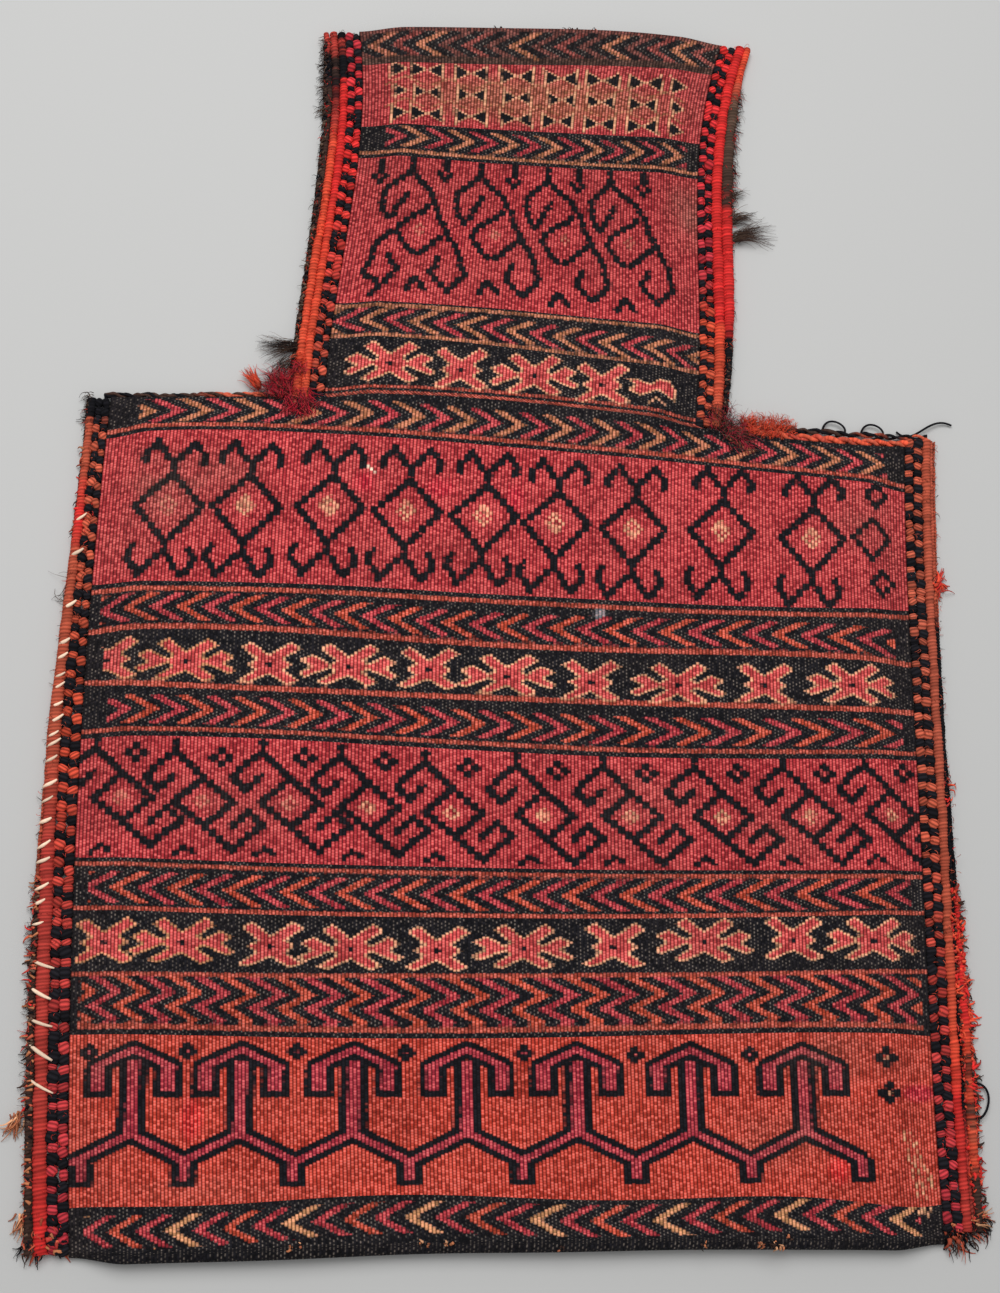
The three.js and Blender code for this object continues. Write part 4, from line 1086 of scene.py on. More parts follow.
class Strands:
    """Round yarns swept along paths: all the rings of all the strands in one mesh."""

    def __init__(self, paths: Array, across: Array, upward: Array, sides: int) -> None:
        """Sweep rings along paths.

        Each ring lies square to its path: its points are the path's point plus the sideways direction by the
        cosine of an angle and the upward direction by its sine.

        Args:
            paths: strand, step and place.
            across: half widths, by strand and step or by strand, step and side.
            upward: half heights, likewise.
            sides: points in a ring.
        """
        self.count, self.steps = paths.shape[:2]
        self.sides = sides
        run = np.gradient(paths, axis=1)
        run /= np.maximum(np.linalg.norm(run, axis=-1, keepdims=True), 1e-9)
        straight_up = np.broadcast_to((0.0, 0.0, 1.0), run.shape)
        side = np.cross(run, straight_up)
        size = np.linalg.norm(side, axis=-1, keepdims=True)
        side = np.where(size > 0.05, side / np.maximum(size, 1e-9), (1.0, 0.0, 0.0))
        rise = np.cross(side, run)
        turn = np.linspace(0.0, 2 * np.pi, sides, endpoint=False)
        wide = np.atleast_3d(across) * np.cos(turn)
        tall = np.atleast_3d(upward) * np.sin(turn)
        ring = side[:, :, None, :] * wide[..., None] + rise[:, :, None, :] * tall[..., None]
        self.points = paths[:, :, None, :] + ring

    def rest(self, floor: float) -> None:
        """Keep every point above the floor."""
        self.points[..., 2] = np.maximum(self.points[..., 2], floor)

    def faces(self) -> Pair:
        """Join the rings.

        Returns:
            Point numbers face after face, and the corners of each face.
        """
        number = np.arange(self.count * self.steps * self.sides).reshape(self.count, self.steps, self.sides)
        after = np.roll(number, -1, axis=2)
        quads = np.stack((number[:, :-1], number[:, 1:], after[:, 1:], after[:, :-1]), axis=-1).reshape(-1, 4)
        caps = np.concatenate((number[:, 0], number[:, -1, ::-1]))
        loops = np.concatenate((quads.ravel(), caps.ravel()))
        sizes = np.concatenate((np.full(len(quads), 4), np.full(len(caps), self.sides)))
        return loops, sizes

    def make(self, kit: Kit, name: str, material: Material, colours: Array) -> Thing:
        """Make the object.

        Args:
            kit: makes meshes.
            name: the object's name.
            material: its finish.
            colours: linear colours by strand, step and side, or one for all sides of a step.

        Returns:
            The object.
        """
        loops, sizes = self.faces()
        thing = kit.mesh(name, self.points.reshape(-1, 3), loops, sizes, material)
        around = colours if colours.ndim == 4 else colours[:, :, None, :]
        spread = np.broadcast_to(around, (self.count, self.steps, self.sides, 3))
        speck = np.zeros((*spread.shape[:3], 1))
        kit.dye(thing, np.concatenate((spread, speck), axis=-1).reshape(-1, 4), "POINT")
        return thing


@dataclass
class WovenCloth:
    """The bag's one cloth: a dense patterned front folded under to a plain back, with an open mouth.

    Columns and steps are counts, and neck_from and neck_to are shares of the body's width.  Tops are heights.
    Tones are how much the dye varies, and neck_darkening is how much darker it gets up the neck.  A worn patch is
    its middle, its half width and half height, and how much dust lies there.
    """

    kit: Kit
    finish: WoolFinish
    columns: int = 240
    neck_first: int = 64
    neck_last: int = 176
    coarse: int = 8
    fold_steps: int = 8
    neck_from: float = 0.2615
    neck_to: float = 0.7373
    neck_foot: float = 414.0
    edge_top: float = 4.8
    middle_top: float = 11.6
    mouth_top: float = 8.0
    edge_taper: float = 26.0
    thickness: float = 2.0
    back_floor: float = 0.15
    broad_tone: float = 0.10
    fine_tone: float = 0.12
    bead_tone: float = 0.14
    neck_darkening: float = 0.22
    mouth_dust: float = 0.14
    side_dust: float = 0.08
    edge_jitter: float = 0.28
    worn: tuple[tuple[float, ...], ...] = (
        (-180, 360, 34, 34, 0.55), (-195, 330, 24, 22, 0.25), (-150, 372, 30, 18, 0.4),
        (178, 355, 40, 30, 0.3), (-195, 82, 30, 24, 0.3), (150, 82, 60, 20, 0.35), (120, 45, 50, 18, 0.3),
        (-150, 22, 60, 10, 0.3), (95, 530, 22, 30, 0.5), (-150, 200, 60, 30, 0.18), (60, 205, 50, 22, 0.22),
        (130, 190, 40, 24, 0.2))

    def __post_init__(self) -> None:
        """Start the seeded variation and spread the columns over the body and the neck."""
        self.wander = Wander(SEED)
        knots = (0, self.neck_first, self.neck_last, self.columns)
        shares = (0.0, self.neck_from, self.neck_to, 1.0)
        self.share = np.interp(np.arange(self.columns + 1), knots, shares)
        self.neck_share = np.linspace(0.0, 1.0, self.neck_last - self.neck_first + 1)

    @staticmethod
    def lay_out(lines: Curves, sides: Curves, share: Array, rise: Array) -> Pair:
        """Spread crossings over a band.

        Args:
            lines: the band's lower and upper line.
            sides: the cloth's left and right side.
            share: places across, from 0 at the left side to 1 at the right.
            rise: places up, from 0 at the lower line to 1 at the upper.

        Returns:
            Places across and up, one row for each rise.
        """
        low, high = lines
        left, right = sides
        level = low(0.0) + (high(0.0) - low(0.0)) * rise
        y = np.broadcast_to(level[:, None], (len(rise), len(share)))
        for _ in range(2):
            x = left(y) + (right(y) - left(y)) * share
            y = low(x) + (high(x) - low(x)) * rise[:, None]
        return x, y

    def weave(self, bands: Sequence[Band], lines: Sequence[Curve], sides: Curves, share: Array) -> Pair:
        """Place the crossings of some bands and paint the yarn between them.

        Args:
            bands: the bands from the bottom up.
            lines: the lines between them.
            sides: the cloth's left and right side.
            share: places across.

        Returns:
            Crossings (rows, columns, x and y) and cells (rows, columns, lower and upper edge, what shows).
        """
        crossings = []
        cells = []
        middle = (share[1:] + share[:-1]) / 2
        for band, low, high in zip(bands, lines[:-1], lines[1:]):
            rise = np.linspace(0.0, 1.0, band.rows + 1)
            x, y = self.lay_out((low, high), sides, share, rise)
            crossings.append(np.stack((x, y), axis=-1)[1 if crossings else 0:])
            x, y = self.lay_out((low, high), sides, middle, rise)
            canvas = Pattern(x, y, low, high, band.ground)
            band.painter(canvas)
            colour = self.age(canvas, sides)
            cells.append(np.stack((colour[:-1], colour[1:]), axis=2))
        return np.concatenate(crossings), np.concatenate(cells)

    def age(self, canvas: Canvas, sides: Curves) -> Array:
        """Vary the dye, darken the colour up the neck, lay dust and ask for pale specks on dark grounds.

        Args:
            canvas: a painted band.
            sides: the cloth's left and right side.

        Returns:
            For each crossing the ground's red, green, blue and share of specks, then for both layers of
            figures red, green, blue and packed distance.
        """
        x, y = canvas.x, canvas.y
        wander = self.wander
        tone = 1.0 + self.broad_tone * wander.over(x, y * 3.0, 30.0) + self.fine_tone * wander.over(x, y, 9.0)
        tone += self.bead_tone * wander.rng.uniform(-1.0, 1.0, x.shape)
        # Darker up the neck, towards the mouth.
        tone *= 1.0 - self.neck_darkening * ease((y - 420.0) / 140.0)
        dust = np.clip(0.02 + 0.09 * wander.over(x, y, 24.0), 0.0, 1.0)
        dust += self.mouth_dust * ease((y - 560.0) / 60.0)
        side = np.minimum(x - sides[0](y), sides[1](y) - x)
        dust += self.side_dust * ease(1.0 - side / 30.0)
        for place_x, place_y, wide, tall, share in self.worn:
            reach = np.hypot((x - place_x) / wide, (y - place_y) / tall)
            dust += share * ease(1.0 - reach) * (1.0 + 0.5 * wander.over(x, y, 7.0))
        veil = np.clip(dust, 0.0, 0.8)[..., None] * 0.6
        bare = 0.75 + 0.25 * wander.over(x, y, 16.0) if canvas.dark_ground else np.zeros(x.shape)
        jitter = wander.rng.uniform(-self.edge_jitter, self.edge_jitter, x.shape)
        shown = []
        for colour, last in ((canvas.colour, bare), (canvas.under.colour, canvas.under.packed(jitter)),
                             (canvas.over.colour, canvas.over.packed(jitter))):
            aged = colour * tone[..., None]
            kept = 0.25 + 0.75 * ease(colour.max(axis=-1, keepdims=True) / 0.1)
            aged += (Yarn.HAIR_BROWN.linear * 1.6 - aged) * veil * kept
            shown += [aged, last[..., None]]
        return np.concatenate(shown, axis=-1)

    def lift(self, place: Array, neck: bool) -> Array:
        """Raise the front from its bound edges to its middle.

        The rise follows the distance to the nearest side or shoulder, slowly at both ends, with slow waves on
        top; the mouth lies lower.

        Args:
            place: crossings, x and y.
            neck: whether they belong to the neck.

        Returns:
            Heights of the front's upper face.
        """
        x, y = place[..., 0], place[..., 1]
        shoulder = BODY_LINES[-1]
        if neck:
            edge = np.minimum(x - NECK_LEFT(y), NECK_RIGHT(y) - x)
        else:
            edge = np.minimum(x - BODY_LEFT(y), BODY_RIGHT(y) - x)
            inward = np.minimum(x - NECK_LEFT(self.neck_foot), NECK_RIGHT(self.neck_foot) - x)
            inward = np.maximum(inward, 0.0)
            edge = np.minimum(edge, np.hypot(inward, np.maximum(shoulder(x) - y, 0.0)))
        swell = ease(edge / self.edge_taper)
        top = self.middle_top + (self.mouth_top - self.middle_top) * ease((y - 540.0) / 90.0)
        wave = 0.45 * np.sin(x / 31.0 + y / 57.0) + 0.35 * np.sin(x / 19.0 - y / 43.0 + 1.0)
        return self.edge_top + (top - self.edge_top + wave) * swell

    def layers(self, body: Array, neck: Array) -> dict[str, Pair]:
        """Place the four faces of the folded cloth.

        Args:
            body: crossings of the body.
            neck: crossings of the neck.

        Returns:
            Body and neck points of the front, its underside, the back's upper face and its lower face.
        """
        neck[0] = body[-1, self.neck_first:self.neck_last + 1]
        front = [np.dstack((part, self.lift(part, number == 1))) for number, part in enumerate((body, neck))]
        front[1][0] = front[0][-1, self.neck_first:self.neck_last + 1]
        sparse = [part[::self.coarse, ::self.coarse] for part in front]
        found = {"front": tuple(front)}
        found["under"] = tuple(part - (0.0, 0.0, self.thickness) for part in sparse)
        flat = [np.dstack((part[..., :2], np.full(part.shape[:2], self.back_floor))) for part in sparse]
        found["inside"] = tuple(part + (0.0, 0.0, self.thickness) for part in flat)
        found["back"] = tuple(flat)
        return found

    @staticmethod
    def fold(upper: Array, lower: Array, steps: int) -> Array:
        """Round a fold from one edge to another: half circles that bulge towards the viewer's near side.

        Args:
            upper: points of the upper edge.
            lower: points of the lower edge.
            steps: steps round the fold.

        Returns:
            The rows between the two edges.
        """
        turn = np.linspace(0.0, np.pi, steps + 1)[1:-1, None]
        middle = (upper[:, 2] + lower[:, 2]) / 2
        radius = (upper[:, 2] - lower[:, 2]) / 2
        y = upper[:, 1] - np.sin(turn) * radius
        z = middle + np.cos(turn) * radius
        return np.stack((np.broadcast_to(upper[:, 0], y.shape), y, z), axis=-1)

    def make(self) -> Thing:
        """Weave, fold and stitch the cloth.

        Returns:
            The object.
        """
        body, body_cells = self.weave(BODY_BANDS, BODY_LINES, (BODY_LEFT, BODY_RIGHT), self.share)
        neck, neck_cells = self.weave(NECK_BANDS, NECK_LINES, (NECK_LEFT, NECK_RIGHT), self.neck_share)
        layers = self.layers(body, neck)
        stitcher = Stitcher(self.coarse, self.neck_first)
        ids = {name: stitcher.layer(*parts, 1 if name == "front" else self.coarse)
               for name, parts in layers.items()}
        outer_edge = layers["back"][0][0]
        columns = np.arange(self.columns + 1)
        knots = columns[::self.coarse]
        wide = np.stack([np.interp(columns, knots, outer_edge[:, k]) for k in range(3)], axis=-1)
        outer = stitcher.rows(self.fold(layers["front"][0][0], wide, self.fold_steps), ids["front"][0][0])
        inner = stitcher.rows(self.fold(layers["under"][0][0], layers["inside"][0][0], self.fold_steps // 2),
                              ids["under"][0][0], ids["inside"][0][0])
        stitcher.grid(ids["front"][0], True, "front", body_cells)
        stitcher.grid(ids["front"][1], True, "front", neck_cells)
        edge_cells = np.repeat(body_cells[:1, :, :1], 2, axis=2)
        stitcher.grid(outer, False, "fold", np.repeat(edge_cells, self.fold_steps - 1, axis=0))
        for name, up in (("under", False), ("inside", True), ("back", False)):
            for part in ids[name]:
                stitcher.grid(part, up, name, None)
        stitcher.grid(inner, True, "inner", None)
        stitcher.strip(outer[-1], ids["back"][0][0], True)
        for upper, lower in (("front", "under"), ("inside", "back")):
            stitcher.walls(ids[upper], ids[lower])
        for column in (0, -1):
            round_fold = np.append(outer[:, column], ids["back"][0][0, column])
            stitcher.strip(round_fold, inner[:, column], column == 0)
        thing = stitcher.make(self.kit, "woven_cloth_wool", self.finish.make())
        self.kit.place(thing, "patterned_wool", "woven_cloth")
        return thing


class Stitcher:
    """Numbers the cloth's points, joins them into faces and keeps what each corner shows."""

    BAKE = {"front": (0.004, 0.03, 0.615, 0.965), "fold": (0.004, 0.002, 0.615, 0.026),
            "back": (0.63, 0.51, 0.18, 0.48), "inside": (0.815, 0.51, 0.18, 0.48),
            "under": (0.63, 0.01, 0.18, 0.48), "inner": (0.815, 0.45, 0.18, 0.04)}
    REACH = (-220.0, -8.0, 220.0, 656.0)
    WALLS = (0.82, 0.02, 0.17, 0.4)
    WALL_GRID = (20, 40)
    WALL_SIZE = 0.0035
    SHOWN = 12

    def __init__(self, coarse: int, neck_first: int) -> None:
        """Start an empty mesh.

        Args:
            coarse: front columns to one column of the other faces.
            neck_first: front column where the neck starts.
        """
        self.coarse = coarse
        self.neck_first = neck_first
        self.points: list[Array] = []
        self.weave: list[Array] = []
        self.total = 0
        self.loops: list[Array] = []
        self.sizes: list[Array] = []
        self.colours: list[Array] = []
        self.bakes: list[Array] = []
        self.wall_count = 0

    def add(self, points: Array, weave: Array) -> Array:
        """Take points in and number them.

        Args:
            points: rows and columns of places.
            weave: rib and row numbers of each.

        Returns:
            Their numbers, in the same rows and columns.
        """
        number = self.total + np.arange(points.shape[0] * points.shape[1]).reshape(points.shape[:2])
        self.points.append(points.reshape(-1, 3))
        self.weave.append(weave.reshape(-1, 2))
        self.total += number.size
        return number

    @staticmethod
    def lattice(rows: int, columns: int, step: int, first_row: int, first_column: int) -> Array:
        """Number ribs and rows, a step apart, from a first row and a first rib on."""
        row, column = np.mgrid[0:rows, 0:columns]
        return np.stack((column * step + first_column, row * step + first_row), axis=-1).astype(float)

    def layer(self, body: Array, neck: Array, step: int) -> Pair:
        """Number a face of the cloth; the neck's first row is part of the body's last one.

        Args:
            body: the body's places.
            neck: the neck's places.
            step: ribs from one column to the next.

        Returns:
            Numbers of the body and of the neck.
        """
        first = self.neck_first // step
        body_ids = self.add(body, self.lattice(*body.shape[:2], step, 0, 0))
        rows = (body.shape[0] - 1) * step
        grid = self.lattice(neck.shape[0] - 1, neck.shape[1], step, rows + step, self.neck_first)
        rest = self.add(neck[1:], grid)
        return body_ids, np.vstack((body_ids[-1:, first:first + neck.shape[1]], rest))

    def rows(self, points: Array, start: Array, end: Array | None = None) -> Array:
        """Number the rows of a fold between edges that are numbered already.

        Args:
            points: rows between the edges.
            start: numbers of the first edge.
            end: numbers of the last edge, if it has as many points.

        Returns:
            Numbers of all rows.
        """
        step = 1 if end is None else self.coarse
        middle = self.add(points, self.lattice(*points.shape[:2], step, -points.shape[0], 0))
        parts = [start[None], middle] if end is None else [start[None], middle, end[None]]
        return np.vstack(parts)

    def grid(self, ids: Array, up: bool, name: str, cells: Array | None) -> None:
        """Join rows and columns into four-cornered faces.

        Args:
            ids: point numbers.
            up: whether the faces look up when rows run away from the viewer.
            name: which part of the cloth this is.
            cells: what shows at each cell's lower and upper edge, or none for plain cloth.
        """
        corners = np.stack((ids[:-1, :-1], ids[:-1, 1:], ids[1:, 1:], ids[1:, :-1]), axis=-1)
        if cells is None:
            yarn = Yarn.BACK_RED if name == "back" else Yarn.BACK_BROWN
            cells = np.broadcast_to(self.plain(yarn), (*corners.shape[:2], 2, self.SHOWN))
        shown = cells[:, :, (0, 0, 1, 1)]
        rows, columns = corners.shape[:2]
        place = self.bake_place(ids, name)
        flat = np.stack((place[:-1, :-1], place[:-1, 1:], place[1:, 1:], place[1:, :-1]), axis=2)
        turn = slice(None) if up else slice(None, None, -1)
        self.loops.append(corners[..., turn].reshape(-1))
        self.colours.append(shown[:, :, turn].reshape(-1, self.SHOWN))
        self.bakes.append(flat[:, :, turn].reshape(-1, 2))
        self.sizes.append(np.full(rows * columns, 4))

    @staticmethod
    def plain(yarn: Yarn) -> Array:
        """Give what a part with no pattern shows: its yarn, no specks, and figures far away."""
        return np.concatenate((yarn.linear, (0.0, 0.0, 0.0, 0.0, 1.0, 0.0, 0.0, 0.0, 1.0)))

    def bake_place(self, ids: Array, name: str) -> Array:
        """Lay a part out flat in its own corner of a square.

        Args:
            ids: point numbers.
            name: which part of the cloth this is.

        Returns:
            Places in the square from 0 to 1.
        """
        left, bottom, wide, tall = self.BAKE[name]
        points = np.concatenate(self.points)[ids]
        low_x, low_y, high_x, high_y = self.REACH
        across = (points[..., 0] - low_x) / (high_x - low_x)
        if name in ("fold", "inner"):
            steps = np.linspace(1.0, 0.0, ids.shape[0])
            upward = np.broadcast_to(steps[:, None], ids.shape)
        else:
            upward = (points[..., 1] - low_y) / (high_y - low_y)
        return np.stack((left + wide * across, bottom + tall * upward), axis=-1)

    def strip(self, dense: Array, sparse: Array, flip: bool) -> None:
        """Join an edge of many points to an edge of few with many-cornered faces.

        Args:
            dense: numbers along the first edge.
            sparse: numbers along the second edge, whose points lie at every so many of the first.
            flip: turn the faces over.
        """
        step = (len(dense) - 1) // (len(sparse) - 1)
        pieces = len(sparse) - 1
        along = dense[np.arange(pieces)[:, None] * step + np.arange(step + 1)]
        faces = np.hstack((along, sparse[1:, None], sparse[:-1, None]))
        if flip:
            faces = faces[:, ::-1]
        size = faces.shape[1]
        turn = np.linspace(0.0, 2 * np.pi, size, endpoint=False)
        spot = self.wall_count + np.arange(pieces)
        self.wall_count += pieces
        left, bottom, wide, tall = self.WALLS
        columns, rows = self.WALL_GRID
        across = left + wide * (spot % columns) / columns
        centre = np.stack((across, bottom + tall * (spot // columns) / rows), axis=-1)
        ring = np.stack((np.cos(turn), np.sin(turn)), axis=-1) * self.WALL_SIZE
        self.bakes.append((centre[:, None] + ring * (-1 if flip else 1)).reshape(-1, 2))
        self.loops.append(faces.reshape(-1))
        self.sizes.append(np.full(pieces, size))
        self.colours.append(np.broadcast_to(self.plain(Yarn.BROWN), (faces.size, self.SHOWN)))

    def walls(self, upper: Pair, lower: Pair) -> None:
        """Close the cut edges between an upper and a lower face of the cloth.

        Args:
            upper: numbers of the upper face, body and neck.
            lower: numbers of the lower face, body and neck.
        """
        for number in (0, 1):
            self.strip(upper[number][:, 0], lower[number][:, 0], False)
            self.strip(upper[number][:, -1], lower[number][:, -1], True)
        self.strip(upper[1][-1], lower[1][-1], False)
        step = (upper[0].shape[1] - 1) // (lower[0].shape[1] - 1)
        first = self.neck_first // self.coarse
        last = first + lower[1].shape[1] - 1
        self.strip(upper[0][-1, :first * step + 1], lower[0][-1, :first + 1], False)
        self.strip(upper[0][-1, last * step:], lower[0][-1, last:], False)

    def make(self, kit: Kit, name: str, material: Material) -> Thing:
        """Make the object with its colours and coordinates.

        Args:
            kit: makes meshes.
            name: the object's name.
            material: its finish.

        Returns:
            The object.
        """
        loops = np.concatenate(self.loops)
        thing = kit.mesh(name, np.concatenate(self.points), loops, np.concatenate(self.sizes), material)
        shown = np.concatenate(self.colours)
        for number, layer_name in enumerate(("Yarn", "Under", "Over")):
            kit.dye(thing, shown[:, number * 4:number * 4 + 4], "CORNER", layer_name)
        weave = np.concatenate(self.weave)[loops]
        for layer_name, values in (("OFBake", np.concatenate(self.bakes)), ("Weave", weave)):
            layer = thing.data.uv_layers.new(name=layer_name)
            layer.data.foreach_set("uv", values.astype(np.float32).ravel())
        return thing


Stops = tuple[tuple[float, Yarn], ...]
Stretch = tuple[float, float, float, float, int]
Root = tuple[float, float, float, float, float, float, int]
Vector = tuple[float, float, float]


def dyed(stops: Stops, place: Array) -> Array:
    """Blend yarns along a line, as linear colours that change evenly between two stops."""
    levels, yarns = zip(*stops)
    return np.stack([np.interp(place, levels, part) for part in zip(*(y.linear for y in yarns))], axis=-1)


@dataclass(frozen=True)
class BoundSide:
    """One bound side of the bag.

    It keeps the cloth's side and the outer edge, where it starts and ends, a check's height and most width,
    the yarns of light checks, each cord's most width and yarns, and the sizes of dark and light checks.
    """

    name: str
    inner: Curve
    outer: Curve
    low: float
    high: float
    check: float
    widest: float
    light: Stops
    cords: tuple[tuple[float, Stops], ...]
    dark_size: float = 1.05
    light_size: float = 0.94
    check_share: float = 0.32
    thinnest: float = 0.7

    def along(self, share: Array, y: Array) -> Array:
        """Place across at a share of the way from the cloth to the outer edge."""
        return self.inner(y) + (self.outer(y) - self.inner(y)) * share

    def out(self, distance: Array, y: Array) -> Array:
        """Place across at a distance out from the cloth."""
        return self.inner(y) + np.sign(self.outer(y) - self.inner(y)) * distance

    def check_width(self, y: Array) -> Array:
        """Width of one column of checks."""
        return np.minimum(self.widest, self.check_share * np.abs(self.outer(y) - self.inner(y)))

    def cord_widths(self, y: Array) -> list[Array]:
        """Share what the checks leave among the cords.

        Args:
            y: places up the bag.

        Returns:
            The width of each cord at each place: its most, or what is left.
        """
        left = np.abs(self.outer(y) - self.inner(y)) - 2 * self.check_width(y)
        widths = []
        for most, _ in self.cords:
            widths.append(np.clip(left, self.thinnest, most))
            left = left - widths[-1]
        return widths


SIDES = (
    BoundSide(
        "left_body", BODY_LEFT, LEFT_BODY_EDGE, -5.0, 411.0, 4.6, 4.9,
        ((0, Yarn.CHEVRON_RED), (150, Yarn.CORD_RED), (240, Yarn.CHEVRON_ORANGE), (330, Yarn.CORD_ORANGE),
         (396, Yarn.CORD_ORANGE), (400, Yarn.BLACK)),
        ((6.0, ((0, Yarn.BRIGHT_RED), (60, Yarn.CORD_RED), (180, Yarn.CORD_RED), (235, Yarn.CORD_ORANGE),
                (325, Yarn.CORD_ORANGE), (345, Yarn.BRIGHT_RED), (375, Yarn.CORD_ORANGE),
                (396, Yarn.CORD_ORANGE), (400, Yarn.BLACK))),
         (6.0, ((0, Yarn.BROWN), (150, Yarn.BROWN), (190, Yarn.CORD_ORANGE), (320, Yarn.CORD_ORANGE),
                (340, Yarn.CORD_RED), (390, Yarn.BROWN))))),
    BoundSide(
        "right_body", BODY_RIGHT, RIGHT_BODY_EDGE, 1.0, 406.0, 4.5, 4.9,
        ((0, Yarn.CHEVRON_RED), (120, Yarn.CORD_RED), (200, Yarn.CORD_ORANGE), (300, Yarn.DULL_ORANGE),
         (400, Yarn.CORD_ORANGE)),
        ((4.4, ((0, Yarn.CORD_RED), (60, Yarn.BRIGHT_RED), (90, Yarn.NECK_ORANGE), (150, Yarn.CORD_ORANGE),
                (250, Yarn.DULL_ORANGE), (400, Yarn.CORD_ORANGE))),
         (2.1, ((0, Yarn.BROWN), (30, Yarn.CORD_RED), (60, Yarn.BLACK), (300, Yarn.BLACK),
                (312, Yarn.CORD_ORANGE), (400, Yarn.DULL_ORANGE))),
         (4.2, ((0, Yarn.BROWN), (26, Yarn.BROWN), (34, Yarn.NECK_ORANGE), (50, Yarn.CORD_ORANGE),
                (56, Yarn.BROWN), (62, Yarn.NECK_ORANGE), (80, Yarn.BROWN), (86, Yarn.NECK_ORANGE),
                (104, Yarn.BRIGHT_RED), (155, Yarn.BRIGHT_RED), (165, Yarn.BLACK), (300, Yarn.BLACK),
                (312, Yarn.CORD_ORANGE), (400, Yarn.DULL_ORANGE))))),
    BoundSide(
        "left_neck", NECK_LEFT, LEFT_NECK_EDGE, 415.0, 634.0, 4.4, 4.0,
        ((410, Yarn.CORD_ORANGE), (480, Yarn.CORD_RED), (560, Yarn.BRIGHT_RED), (640, Yarn.CHEVRON_RED)),
        ((4.3, ((410, Yarn.BRIGHT_ORANGE), (480, Yarn.NECK_ORANGE), (540, Yarn.BRIGHT_RED),
                (602, Yarn.BRIGHT_RED), (608, Yarn.BLACK), (618, Yarn.BLACK), (623, Yarn.CORD_RED),
                (628, Yarn.BLACK))),
         (4.2, ((410, Yarn.BRIGHT_ORANGE), (500, Yarn.NECK_ORANGE), (560, Yarn.NECK_ORANGE),
                (580, Yarn.CORD_RED), (602, Yarn.BLACK), (614, Yarn.BROWN), (620, Yarn.CORD_RED),
                (630, Yarn.CORD_RED))),
         (3.4, ((410, Yarn.BROWN), (600, Yarn.BROWN), (606, Yarn.BLACK), (618, Yarn.BLACK),
                (624, Yarn.CORD_RED)))),
        1.0, 1.02),
    BoundSide(
        "right_neck", NECK_RIGHT, RIGHT_NECK_EDGE, 409.0, 640.5, 4.4, 4.2,
        ((410, Yarn.CORD_ORANGE), (470, Yarn.CHEVRON_ORANGE), (500, Yarn.CHEVRON_RED),
         (640, Yarn.BRIGHT_RED)),
        ((5.4, ((410, Yarn.CORD_ORANGE), (460, Yarn.NECK_ORANGE), (475, Yarn.BRIGHT_RED),
                (640, Yarn.BRIGHT_RED))),
         (6.0, ((410, Yarn.BLACK), (458, Yarn.BLACK), (470, Yarn.BRIGHT_RED), (530, Yarn.BRIGHT_RED),
                (545, Yarn.BROWN), (605, Yarn.HAIR_BROWN), (620, Yarn.NECK_ORANGE)))),
        1.0, 1.02),
)
DARKS = (Yarn.BLACK, Yarn.BROWN, Yarn.BROWN, Yarn.HAIR_BROWN)


